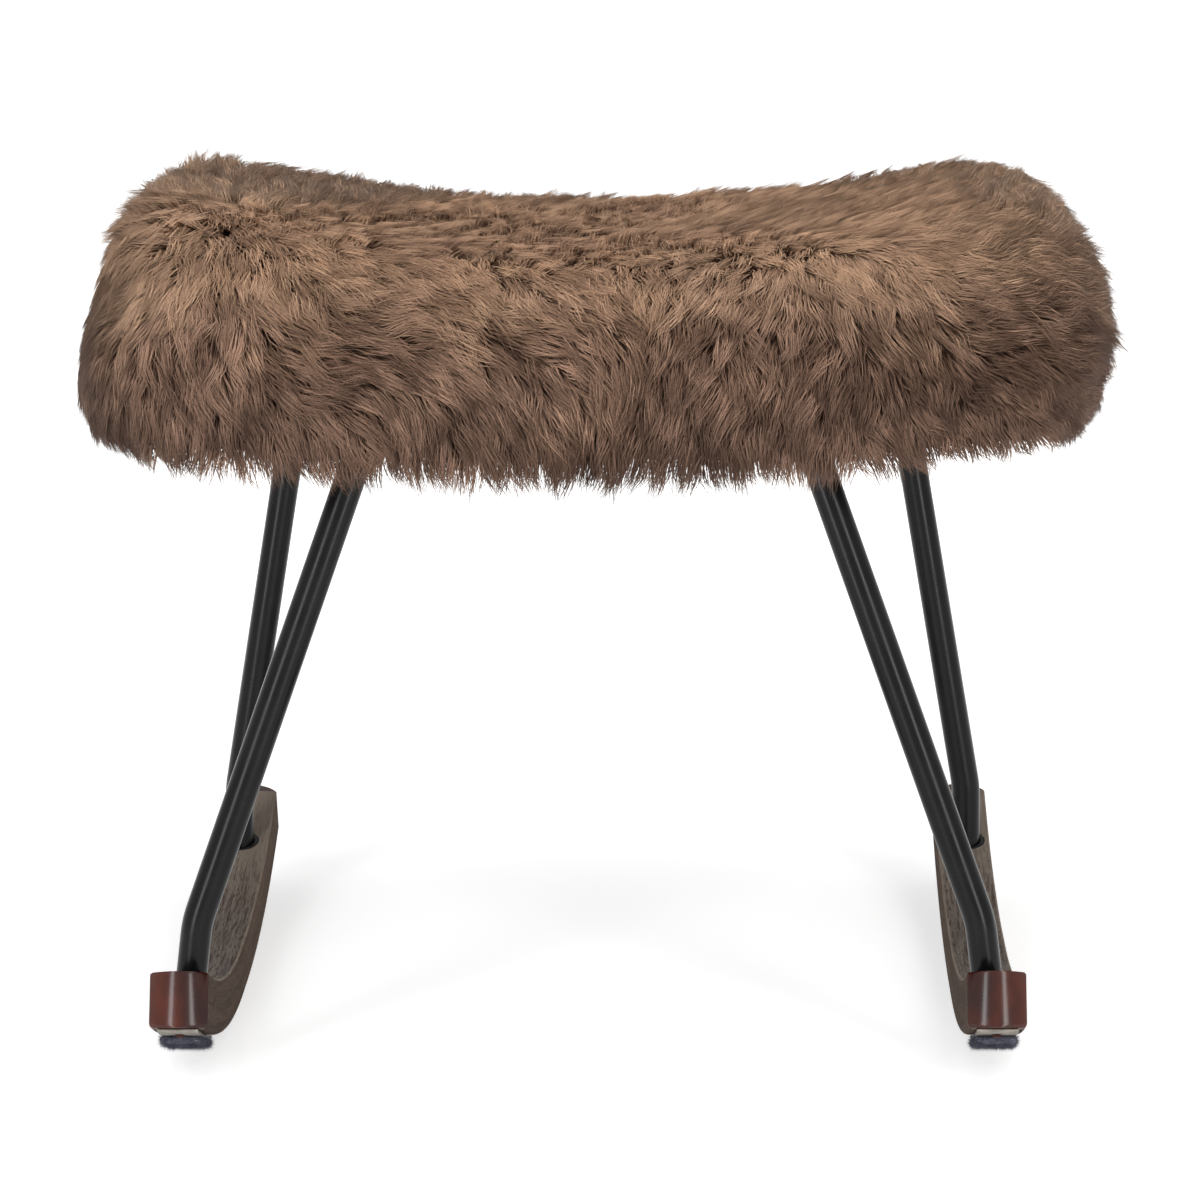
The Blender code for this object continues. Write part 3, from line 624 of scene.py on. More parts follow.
marks = {
    # waves: length, phase, amount
    "toneWaves": ((0.11, 2.2, 0.5), (0.04, 5.1, 0.25)),
    "topWaves": (0.019, 1.3, 1.3),
    "sideWaves": (0.026, 3.3, 1.1),
    "warmWaves": (0.06, 8.0, 0.5),
    "lengthWaves": (0.03, 4.0, 0.12),
    "standWaves": (0.045, 6.3, 0.18),
    # bells: middle, reach, amount
    "rightGlow": (0.15, 0.09, 0.55),
    "ridgeGlow": (-0.165, 0.022, 1.1),
    "leftShade": (-0.14, 0.09, 0.9),
    "hemShade": (0, 0.11, 1.6),
    "fringeMiddle": (0.01, 0.07, 0.22),
    "standDips": ((0.13, 0.045, 0.50), (0.195, 0.022, 0.40), (-0.175, 0.022, 0.15)),
    "ridge": (-0.165, 0.025),
    "parting": ((-0.158, 0.036), (-0.150, 0.036)),
    # ramps: start, reach, amount
    "leftEnd": (-0.19, -0.05),
    "rightPart": (0.08, 0.06),
    "low": (0, -0.04),
    "fringe": (0.01, -0.03),
    "fringeRight": (0.13, 0.06, 0.38),
    "longRight": (0.20, 0.03, 0.14),
    "rightOut": (0.19, 0.03),
    "leftCorner": (-0.195, -0.02, 0.52),
    "leftFlat": (-0.20, -0.04, 0.50),
    "onTop": (0.7, 0.2, 0.4),
    "ridgeLevel": 0.405,
    # the hue group's rise with height, partly painted shade
    "warmRise": (0.008, 0.05, 1.3),
    # what each does to the hair's stand, its crowding and its gathering into locks
    "effects": {"ridge": (-0.38, 0.45, -0.45), "fringe": (0, 0.40, -0.35), "parting": (0.40, 1.0, -0.3)},
}
pileLayers = ("combing", "outward", "tan", "warm", "pileLength", "pileStand", "crowd", "gather", "patch")
strandLayers = ("root", "bend", "tip", "tone", "warmGroup", "thick", "blade")


def waves(points, length, phase, amount=1.0):
    # a smooth uneven field, both ways from 0
    total = np.zeros(len(points))
    for k in range(5):
        turn = phase + 2.4 * k
        way = np.array((math.cos(turn), math.sin(turn * 1.7), math.cos(turn * 0.6 + 1)))
        total += np.sin(points @ way * (2 * math.pi / (length * (0.8 + 0.25 * k))) + 3.1 * turn)
    return amount * total / 3.2


def bell(values, middle, reach, amount=1.0):
    return amount * np.exp(-((values - middle) / reach) ** 2)


def ramp(values, start, reach, amount=1.0):
    # from 0 at the start to the amount beyond the reach; a negative reach runs the other way
    return amount * np.clip((values - start) / reach, 0, 1)


def inSeat(points):
    return (points - np.array(seatPlace.translation)) @ np.array(seatPlace.to_3x3())


def combField(points, outward):
    # the comb's direction at each point, shorter where the strokes disagree, as in a whorl
    strokes = np.array(combing["strokes"], float)
    places, ways = strokes[:, :3] / 1000, strokes[:, 3:] / 100
    level = np.clip(outward[:, 2:3], 0, 1) ** 2
    side = np.sign(points[:, :1])
    ends = np.clip(np.abs(outward[:, :1]), 0, 1)
    field = (1 - level) * np.hstack([0 * side, 0.35 * ends * (side > 0), -1 + 0 * side])
    field += level * np.hstack([0.5 + 0 * side, 0.4 * np.sign(points[:, 1:2]), 0 * side])
    field *= combing["plainPull"]
    for place, way in zip(places, ways):
        far = np.sum((points - place) ** 2, axis=1, keepdims=True)
        field += way * np.exp(-far / (2 * combing["strokeReach"] ** 2))
    field -= outward * np.sum(field * outward, axis=1, keepdims=True)
    length = np.linalg.norm(field, axis=1, keepdims=True)
    field *= (0.5 + 0.5 * np.minimum(1, length / 0.12)) / np.maximum(length, 1e-9)
    swing = combing["sway"] * waves(points, combing["swayLength"], 0.7)[:, None]
    across = np.cross(outward, field)
    return field * np.cos(swing) + across * np.sin(swing)


def markPile(mesh):
    points = pointsOf(mesh)
    outward = np.array([v.normal for v in mesh.vertices], float)
    height = inSeat(points)[:, 2]
    field = combField(points, outward)
    x, y, z = points.T
    up = np.clip(outward[:, 2], 0, 1)
    low, fringe = ramp(height, *marks["low"]), ramp(height, *marks["fringe"])
    leftEnd, right = ramp(x, *marks["leftEnd"]), ramp(x, *marks["rightPart"])
    ridge = bell(y, *marks["ridge"]) * (z > marks["ridgeLevel"])
    acrossPart, deepPart = marks["parting"]
    parting = bell(x, *acrossPart) * bell(y, *deepPart) * (up > 0)
    # lighter on the right of the top and darker on the left of the top; painted highlight along the
    # front ridge, and painted shade towards the middle of the hem and on the sides
    tan = sum(waves(points, *wave) for wave in marks["toneWaves"])
    tan += bell(x, *marks["rightGlow"]) * up
    # painted highlight: the pile is lighter along the front ridge
    tan += bell(y, *marks["ridgeGlow"]) * (z > marks["ridgeLevel"])
    tan -= bell(x, *marks["leftShade"]) * (up > 0.8) * (y > -0.1)
    tan += waves(points, *marks["topWaves"]) * ramp(up, 0.6, 0.2) * ramp(y, -0.15, 0.02)
    # painted shade darkens the middle of the lowest band, which is a little lighter towards its ends
    tan += (0.4 - bell(x, *marks["hemShade"])) * low
    # painted shade: the sides are darker than the top, most towards the left end and on the right
    tan -= (1 - up) * (2.3 * leftEnd * (1 - 0.6 * low) + 1.8 * right * (1 - low) + 0.4)
    tan += waves(points, *marks["sideWaves"]) * ramp(up, 0.75, -0.2)
    tan += ramp(up, *marks["onTop"]) * ramp(y, -0.12, 0.03)
    # the hue group rises from rust low down to tan at the top: partly a real change of hue and partly painted
    # shade, as the rust low down is darker
    middle, reach, amount = marks["warmRise"]
    warm = 1.0 + amount * (height - middle) / reach + waves(points, *marks["warmWaves"])
    # the fringe is longer in the middle and shorter at the right end
    length = 1.0 + waves(points, *marks["lengthWaves"])
    length += (1 - fringe) * (1 - up) * ramp(x, *marks["longRight"])
    length += fringe * (bell(x, *marks["fringeMiddle"]) - ramp(x, *marks["fringeRight"]))
    # the pile stands up on the outer corners of the top and out at the right end
    stand = 1.0 + 0.22 * up + waves(points, *marks["standWaves"])
    stand -= up * sum(bell(x, *dip) for dip in marks["standDips"])
    stand += (0.52 - 0.28 * up) * ramp(x, *marks["rightOut"])
    stand += ramp(up, 0.55, 0.3) * ramp(x, *marks["leftCorner"])
    stand -= ramp(x, *marks["leftFlat"]) * ramp(up, 0.9, -0.3)
    # softer and denser over the front ridge and at the fringe
    crowd = np.ones(len(points))
    gather = 1.0 + ramp(up, *marks["onTop"]) * ramp(y, -0.15, 0.03)
    for name, area in {"ridge": ridge, "fringe": fringe, "parting": parting}.items():
        raised, crowded, gathered = marks["effects"][name]
        stand, crowd, gather = stand + raised * area, crowd + crowded * area, gather + gathered * area
    for name, values in zip(pileLayers, (field, outward, tan, warm, length, stand, crowd, gather)):
        single = values.ndim == 1
        layer = mesh.attributes.new(name, "FLOAT" if single else "FLOAT_VECTOR", "POINT")
        layer.data.foreach_set("value" if single else "vector", values.astype(np.float32).ravel())


def slicePile(mesh):
    # slices across the stool that hold equal areas of pile; -1 where there is none
    middles, normals, areas = (
        np.array([getattr(face, key) for face in mesh.polygons]) for key in ("center", "normal", "area")
    )
    local = inSeat(middles)
    shrink = cushion["pileDepth"] + cushion["hemTuck"] + cushion["hemClear"]
    across = np.abs(local[:, 0]) / (cushion["halfWidth"] - shrink)
    deep = np.abs(local[:, 1]) / (cushion["halfDepth"] - shrink)
    inside = across ** cushion["squareness"] + deep ** cushion["squareness"] < 1
    bare = inside & (local[:, 2] < 0) | (normals[:, 2] < -0.95)
    areas[bare] = 0
    order = np.argsort(middles[:, 0])
    share = np.cumsum(areas[order]) / areas.sum()
    patch = np.empty(len(middles), int)
    patch[order] = np.minimum((share * pile["slices"]).astype(int), pile["slices"] - 1)
    patch[bare] = -1
    layer = mesh.attributes.new("patch", "INT", "FACE")
    layer.data.foreach_set("value", patch.astype(np.int32))
    print("pile area", round(float(areas.sum()), 3), "square metres")


def pileTree():
    graph, given = growthTree("combedPile", {**pile["hair"], "Patch": 0, "Patches Together": 1})
    named, chance, node, blend, maths = graph.named, graph.chance, graph.node, graph.blend, graph.maths
    backing = given["Geometry"]

    def store(geometry, name, value, kind="FLOAT", domain="POINT"):
        settings = {"data_type": kind, "domain": domain}
        inputs = {"Geometry": geometry, "Name": name, "Value": value}
        return node("GeometryNodeStoreNamedAttribute", settings, **inputs)[0]

    def unit(vector):
        return maths("NORMALIZE", vector)

    def scatter(selection, density, seed):
        inputs = {"Mesh": backing, "Selection": selection, "Density": density, "Seed": seed}
        settings = {"distribute_method": "RANDOM"}
        return node("GeometryNodeDistributePointsOnFaces", settings, **inputs)["Points"]

    place = node("GeometryNodeInputPosition")["Position"]
    outward = unit(named("outward", "FLOAT_VECTOR"))
    comb = named("combing", "FLOAT_VECTOR")
    patch = named("patch", "INT")

    settings = {"data_type": "INT", "operation": "GREATER_THAN"}
    whole = node("FunctionNodeCompare", settings, A=patch, B=-1)[0]
    group = maths("FLOOR", patch / given["Patches Together"])
    settings = {"data_type": "FLOAT", "operation": "EQUAL"}
    chosen = node("FunctionNodeCompare", settings, A=group, B=given["Patch"], Epsilon=0.1)[0]
    both = node("FunctionNodeBooleanMath", {"operation": "AND", "sockets": {0: whole, 1: chosen}})[0]
    roots = scatter(both, given["Strand Density"] * named("crowd"), given["Seed"])
    locks = scatter(whole, given["Lock Density"], pile["lockSeed"])

    # each strand belongs to the lock whose root is nearest, with some that stray to the next one
    wander = chance((-1, -1, -1), (1, 1, 1), 3) * pile["wander"]
    nearest = node("GeometryNodeSampleNearest", Geometry=locks, Sample_Position=place + wander)[0]

    def ofLock(value, kind="FLOAT"):
        inputs = {"Geometry": locks, "Value": value, "Index": nearest}
        return node("GeometryNodeSampleIndex", {"data_type": kind}, **inputs)["Value"]

    def turned(vector, angle):
        settings = {"rotation_type": "AXIS_ANGLE"}
        return node("ShaderNodeVectorRotate", settings, Vector=vector, Axis=outward, Angle=angle)[0]

    def below(point, value):
        # what the backing has nearest to a point
        settings = {"data_type": "FLOAT_VECTOR"}
        inputs = {"Mesh": backing, "Value": value, "Sample_Position": point}
        return node("GeometryNodeSampleNearestSurface", settings, **inputs)[0]

    def hugged(point, height):
        # a tip keeps its height over the backing, except where it hangs past the hem
        up = unit(below(point, outward))
        hold = graph.between(graph.split(up)[2], *pile["hold"])
        return blend(hold, point, below(point, place) + up * height, "VECTOR")

    def shaped(way, length, lift, curl, droop):
        # the bend and the tip of a strand that leaves the backing here
        across = maths("CROSS_PRODUCT", outward, way)
        bendAlong, bendUp = pile["bendAt"]
        bend = place + (way * bendAlong + outward * (lift * bendUp) + across * curl) * length
        tip = place + (way * pile["tipAt"] + outward * lift - across * (curl * 0.6)) * length
        return bend, hugged(tip, lift * length * droop)

    def held(value, low, high):
        return maths("MINIMUM", maths("MAXIMUM", value, low), high)

    lockTurn, ownTurn, ownCurl = pile["lockTurn"], pile["ownTurn"], pile["ownCurl"]
    lockWay = turned(comb, chance(-lockTurn, lockTurn, 31))
    lockLength = chance(*pile["lockLength"], 37) * named("pileLength") * given["Length"]
    stand = named("pileStand") * given["Lift"]
    lockLift = chance(*pile["liftRange"], 43) * stand
    lockCurl = chance(-1.0, 1.0, 45) * given["Curl"]
    ofWhole = shaped(lockWay, lockLength, lockLift, lockCurl, chance(*pile["lockDroop"], 49))
    lockBend, lockTip = (ofLock(value, "FLOAT_VECTOR") for value in ofWhole)
    lockTone = ofLock(chance(0.0, 1.0, 41))
    length = given["Length"] * named("pileLength") * chance(*pile["ownLength"], 47)
    way = blend(0.6, comb, ofLock(lockWay, "FLOAT_VECTOR"), "VECTOR")
    way = turned(way, chance(-ownTurn, ownTurn, 53))
    curl = ofLock(lockCurl) + chance(-ownCurl, ownCurl, 57)
    lift = blend(0.5, ofLock(lockLift), stand * chance(*pile["liftRange"], 59), "FLOAT")
    ownBend, ownTip = shaped(way, length, lift, curl, chance(*pile["ownDroop"], 60))
    hold = given["Clump"] * named("gather") * chance(1 - given["Stray"], 1.0, 61)
    tip = blend(hold, ownTip, lockTip, "VECTOR")
    bend = blend(hold * 0.35, ownBend, lockBend, "VECTOR")
    ofLocks, ofStrand, ofLayer = pile["tones"]
    tone = 0.5 + (lockTone - 0.5) * ofLocks + chance(-ofStrand, ofStrand, 67) + named("tan") * ofLayer
    warm = maths("ROUND", named("warm") + chance(-pile["warmMix"], pile["warmMix"], 71))
    for name, value in {"root": place, "bend": bend, "tip": tip}.items():
        roots = store(roots, name, value, "FLOAT_VECTOR")
    roots = store(roots, "tone", held(tone, 0.02, 0.98))
    roots = store(roots, "warmGroup", held(warm, 0, 2))
    roots = store(roots, "thick", given["Width"] * chance(*pile["thickness"], 73))

    cone = node(
        "GeometryNodeMeshCone", {"fill_type": "NGON"}, Vertices=3, Side_Segments=given["Segments"],
        Fill_Segments=1, Radius_Top=0.0, Radius_Bottom=1.0, Depth=1.0,
    )["Mesh"]
    blade = store(cone, "blade", place, "FLOAT_VECTOR")
    strands = graph.repeat(roots, blade)

    spokeX, spokeY, along = graph.split(named("blade", "FLOAT_VECTOR"))
    left = 1 - along
    root, bend, tip = (named(name, "FLOAT_VECTOR") for name in ("root", "bend", "tip"))
    middle = root * (left * left) + bend * (left * along * 2) + tip * (along * along)
    tangent = unit((bend - root) * left + (tip - bend) * along)
    side = unit(maths("CROSS_PRODUCT", outward, tangent))
    over = maths("CROSS_PRODUCT", tangent, side)
    width = named("thick") * (1 - along ** pile["taper"])
    spokeX, spokeY = spokeX / left, spokeY / left
    moved = middle + side * (spokeX * width) + over * (spokeY * width * pile["flatness"])
    strands = node("GeometryNodeSetPosition", Geometry=strands, Position=moved)[0]
    u = named("tone") + spokeX * 0.006
    v = (named("warmGroup") + 0.04 + along * 0.92 + spokeY * 0.01) / 3
    strands = store(strands, "OFBake", graph.vector(u, v), "FLOAT2", "CORNER")
    graph.close(node("GeometryNodeSetShadeSmooth", Geometry=strands)[0], given["Material"])
    return graph.tree


def dropLayers(mesh, names):
    for name in names:
        if name in mesh.attributes:
            mesh.attributes.remove(mesh.attributes[name])


def growPile(tree, kind, name, patch, together, material):
    piece = linkObject(name, furCushion.data.copy())
    grow(piece, tree, {**pile[kind], "Patch": patch, "Patches Together": together, "Material": material})
    dropLayers(piece.data, pileLayers + strandLayers)
    return finishPiece(piece, material)


hairColours = {
    # darkest and lightest tone of each shade, as on a screen
    "rust": ((88, 66, 54), (168, 134, 114)),
    "taupe": ((100, 75, 61), (190, 153, 129)),
    "tan": ((110, 84, 65), (208, 171, 141)),
    "shade": (0.66, 1.12),  # at the root and at the tip
    "backing": ((70, 54, 44), (104, 81, 66)),
}


def hairShading(graph):
    uv = graph.node("ShaderNodeUVMap", {"uv_map": "OFBake"})["UV"]
    tone, shares = graph.split(uv)[:2]
    thirds = shares * 3
    group = graph.maths("FLOOR", thirds)
    along = thirds - group
    rust, taupe, tan = (graph.blend(tone, *hairColours[name]) for name in ("rust", "taupe", "tan"))
    colour = graph.blend(group > 0.5, rust, taupe)
    colour = graph.blend(group > 1.5, colour, tan)
    shade = graph.between(along, 0.05, 0.9, *hairColours["shade"], smooth=False)
    grey = graph.node("ShaderNodeCombineColor", Red=shade, Green=shade, Blue=shade)[0]
    return {"Base Color": graph.blend(1.0, colour, grey, how="MULTIPLY")}


def backingShading(graph):
    place = graph.place()
    knit, patches = graph.noise(place, 900), graph.noise(place, 60, 3)
    colour = graph.tint(knit * 0.7 + patches * 0.3, 0.35, 0.65, hairColours["backing"])
    return {"Base Color": colour, "Normal": graph.bump(knit, 0.6, 0.0006)}


markPile(furCushion.data)
slicePile(furCushion.data)
hair = makeMaterial("combedHair", hairShading, Roughness=0.60, Specular_IOR_Level=0.22)
tree = pileTree()
strandCount = 0
for k in range(pile["slices"]):
    piece = growPile(tree, "hair", f"fur_hair_{k + 1}", k, 1, hair)
    strandCount += len(piece.data.vertices) // 7
    print(piece.name, len(piece.data.polygons))
for k in range(pile["slices"] // 2):
    piece = growPile(tree, "underwool", f"fur_underwool_{k + 1}", k, 2, hair)
    print(piece.name, len(piece.data.polygons))
print("pile grown:", strandCount, "long strands")
dropLayers(furCushion.data, pileLayers)
backing = makeMaterial("pileBacking", backingShading, Roughness=0.9, Specular_IOR_Level=0.1)
finishPiece(furCushion, backing)
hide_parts("fur_cover", "foam_pad")


# Rockers: two arcs that meet in a short flat, with lacquered noses
rocker = {
    "x": 0.2084,
    "width": 0.030,
    "thickness": 0.029,
    "tipReach": 0.200,
    "tailReach": 0.205,
    "restAlong": -0.006,
    "restFlat": 0.024,
    "frontRadius": 0.414,
    "rearRadius": 0.588,
    "noseBulge": 0.0065,
    "footRound": 0.003,
    "topChamfer": 0.0010,
    "arcSteps": 56,
    "noseSteps": 10,
    "roundSteps": 5,
}
tube = {
    "radius": 0.008,
    "wall": 0.0015,
    "bendRadius": 0.060,
    "bendSteps": 14,
    "around": 48,
    "gap": 0.0003,
    "socketDepth": 0.017,
    "bushWall": 0.0022,
    "bushFloor": 0.002,
    "bushLip": (0.0005, 0.0003),  # how far its edges drop and its crest rises
    "boltRadius": 0.0029,
    "boltHeadRoom": 0.0060,
    "boltWeb": 0.005,
    "barUnderside": -0.0378,
    # along the rocker, outboard of its middle, stub's length, its lean in and back in degrees, and
    # the head's place from the middle of the seat
    "front": {
        "along": -0.1631, "outboard": -0.0039, "stub": 0.029, "lean": (6.8, 5.6), "head": (0.109, -0.112),
    },
    "rear": {
        "along": 0.1360, "outboard": 0.0014, "stub": 0.032, "lean": (0.5, 2.5), "head": (0.166, 0.154),
    },
}
sides = {"left": -1, "right": 1}
ends = ("front", "rear")


def underside(distance):
    # place, height and slope of the rocker's foot at a distance along it
    beyond = abs(distance) - rocker["restFlat"] / 2
    if beyond <= 0:
        return rocker["restAlong"] + distance, 0.0, 0.0
    way = math.copysign(1, distance)
    radius = rocker["frontRadius"] if distance < 0 else rocker["rearRadius"]
    turn = beyond / radius
    along = rocker["restAlong"] + way * (rocker["restFlat"] / 2 + radius * math.sin(turn))
    return along, radius * (1 - math.cos(turn)), way * turn


def onRocker(distance, height):
    along, rise, slope = underside(distance)
    return along - height * math.sin(slope), rise + height * math.cos(slope)


def distanceAt(along, height):
    ahead = along - rocker["restAlong"]
    beyond = abs(ahead) - rocker["restFlat"] / 2
    if beyond <= 0:
        return ahead
    radius = rocker["frontRadius"] if ahead < 0 else rocker["rearRadius"]
    return math.copysign(rocker["restFlat"] / 2 + radius * math.asin(beyond / (radius - height)), ahead)


tipDistance = distanceAt(-rocker["tipReach"], 0)
tailDistance = distanceAt(rocker["tailReach"], 0)


def rockerSection(halfWidth):
    foot, top = min(rocker["footRound"], 0.6 * halfWidth), min(rocker["topChamfer"], 0.5 * halfWidth)
    right = []
    for k in range(rocker["roundSteps"] + 1):
        turn = math.radians(90 * k / rocker["roundSteps"])
        right.append((halfWidth - foot + foot * math.sin(turn), foot - foot * math.cos(turn)))
    right += [(halfWidth, rocker["thickness"] - top), (halfWidth - top, rocker["thickness"])]
    return right + [(-x, height) for x, height in reversed(right)]


def rockerMesh(name, side):
    half, bulge, steps = rocker["width"] / 2, rocker["noseBulge"], rocker["arcSteps"]
    radius = (half * half + bulge * bulge) / (2 * bulge)
    nose = []
    for k in range(1, rocker["noseSteps"] + 1):
        turn = math.asin(half / radius) * k / rocker["noseSteps"]
        nose.append((radius * (1 - math.cos(turn)), radius * math.sin(turn)))
    first, last = tipDistance + bulge, tailDistance - bulge
    stations = [(tipDistance + way, width) for way, width in nose]
    stations += [(first + (last - first) * k / steps, half) for k in range(1, steps)]
    stations += [(tailDistance - way, width) for way, width in reversed(nose)]
    rings = []
    for distance, halfWidth in stations:
        places = [(x, *onRocker(distance, height)) for x, height in rockerSection(halfWidth)]
        rings.append([(side * rocker["x"] + x, along, rise) for x, along, rise in places])
    return meshFrom(name, lambda bm: loft(bm, rings))


def stubAxis(leg, side):
    leanIn, leanBack = (math.tan(math.radians(angle)) for angle in leg["lean"])
    return Vector((-side * leanIn, leanBack, 1)).normalized()


def legEntry(leg, side):
    along, rise = onRocker(distanceAt(leg["along"], rocker["thickness"]), rocker["thickness"])
    return Vector((side * (rocker["x"] + leg["outboard"]), along, rise))


def placeOn(origin, axis):
    return Matrix.Translation(origin) @ axis.to_track_quat("Z", "Y").to_matrix().to_4x4()


def cutWith(piece, meshes):
    for mesh in meshes:
        cutter = linkObject("cutter", mesh)
        carve = piece.modifiers.new("carve", "BOOLEAN")
        carve.operation, carve.solver, carve.object = "DIFFERENCE", "EXACT", cutter
        applyModifiers(piece)
        bpy.data.objects.remove(cutter)


def socketCutter(leg, side):
    hole = tube["radius"] + tube["bushWall"] + 2 * tube["gap"]
    bolt, web = tube["boltRadius"] + 2 * tube["gap"], -tube["socketDepth"] - tube["boltWeb"]
    floor, reach = -tube["socketDepth"] - tube["gap"], 0.04
    profile = [(0, reach), (hole, reach), (hole, floor), (bolt, floor), (bolt, web)]
    profile += [(tube["boltHeadRoom"], web), (tube["boltHeadRoom"], -reach), (0, -reach)]
    return turned(profile, tube["around"], placeOn(legEntry(leg, side), stubAxis(leg, side)))


def legMesh(name, leg, side):
    # the bent tube, its head cut to lie under its bar
    axis, entry = stubAxis(leg, side), legEntry(leg, side)
    foot = entry - axis * (tube["socketDepth"] - tube["bushFloor"] - tube["gap"])
    bend = entry + axis * leg["stub"]
    headX, headY = side * leg["head"][0], leg["head"][1]
    sag = headX * headX / (2 * seat["sagRadius"])
    head = seatPlace @ Vector((headX, headY, tube["barUnderside"] + sag - tube["gap"]))
    slope = Matrix.Rotation(-math.atan(headX / seat["sagRadius"]), 4, "Y")
    square = (seatPlace.to_3x3() @ slope.to_3x3() @ Vector((0, 0, 1))).normalized()
    onward = (head - bend).normalized()
    turn = axis.angle(onward)
    trim = tube["bendRadius"] * math.tan(turn / 2)
    start = bend - axis * trim
    inward = (onward - axis * axis.dot(onward)).normalized()
    middle = start + inward * tube["bendRadius"]
    path = [(foot, axis), (foot.lerp(start, 0.5), axis)]
    for k in range(tube["bendSteps"] + 1):
        angle = turn * k / tube["bendSteps"]
        point = middle + (axis * math.sin(angle) - inward * math.cos(angle)) * tube["bendRadius"]
        path.append((point, axis * math.cos(angle) + inward * math.sin(angle)))
    last = path[-1][0]
    path += [(last.lerp(head, share), onward) for share in (0.25, 0.5, 0.75, 1.0)]
    across = axis.cross(inward).normalized()

    def wall(radius):
        rings = []
        for place, forward in path:
            spokes = [across * c + across.cross(forward) * s for c, s, z in circle(1, 0, tube["around"])]
            rings.append([place + spoke * radius for spoke in spokes])
        rings[-1] = [p + onward * ((head - p).dot(square) / onward.dot(square)) for p in rings[-1]]
        return rings

    return closedLoft(name, wall(tube["radius"]) + wall(tube["radius"] - tube["wall"])[::-1])


def bushMesh(leg, side):
    # a cup with its rim a touch proud of the rocker's top, and a small rounded lip
    inner, outer = tube["radius"] + tube["gap"], tube["radius"] + tube["gap"] + tube["bushWall"]
    hole, depth = tube["boltRadius"] + 2 * tube["gap"], -tube["socketDepth"]
    floor, steps = depth + tube["bushFloor"], tube["around"]
    axis, entry = stubAxis(leg, side), legEntry(leg, side)
    slope = underside(distanceAt(leg["along"], rocker["thickness"]))[2]
    up = Vector((0, -math.sin(slope), math.cos(slope)))
    place = placeOn(entry, axis)
    drop, raised = tube["bushLip"]
    inset = drop * 0.6

    def flat(radius, height):
        return [place @ Vector(point) for point in circle(radius, height, steps)]

    def level(radius, raised):
        # a ring on the rocker's sloping top
        return [p + axis * ((entry - p).dot(up) / axis.dot(up) + raised) for p in flat(radius, 0)]

    rings = [level(inner, -drop), level(inner + inset, raised)]
    rings += [level(outer - inset, raised), level(outer, -drop)]
    rings += [flat(outer, depth), flat(hole, depth), flat(hole, floor), flat(inner, floor)]
    return closedLoft("bush", rings)


timber = {
    # walnut stain on open-pored wood, and the mahogany lacquer of the end faces
    "side": ((68, 55, 46), (98, 81, 69)),
    # the top is paler and greyer than the sides, partly a painted reflection of the pale surroundings
    "top": ((86, 76, 69), (120, 110, 101)),
    "streak": (58, 40, 37),
    "pore": (30, 22, 20),
    # pale colour for the chamfer, and for the painted reflection on the far rise
    "wornEdge": (140, 128, 116),
    "lacquer": ((38, 12, 7), (82, 33, 19)),
    "lacquerReach": 0.0066,
    "thinning": (0.199, 0.2225, -0.10, 0.16),  # the lacquer is lighter and redder towards the outer edges
    # grain: scale along each axis, detail, roughness, distortion
    "figure": ((160, 9, 160), 4, 0.6, 0.4),
    "fine": ((1500, 34, 1500), 3, 0.65),
    "pores": ((1900, 120, 1900), 2, 0.5),
    "streaks": ((750, 30, 750), 3, 0.6),
    "clouds": ((75, 60, 40), 3, 0.5),
    "wander": 0.006,
}


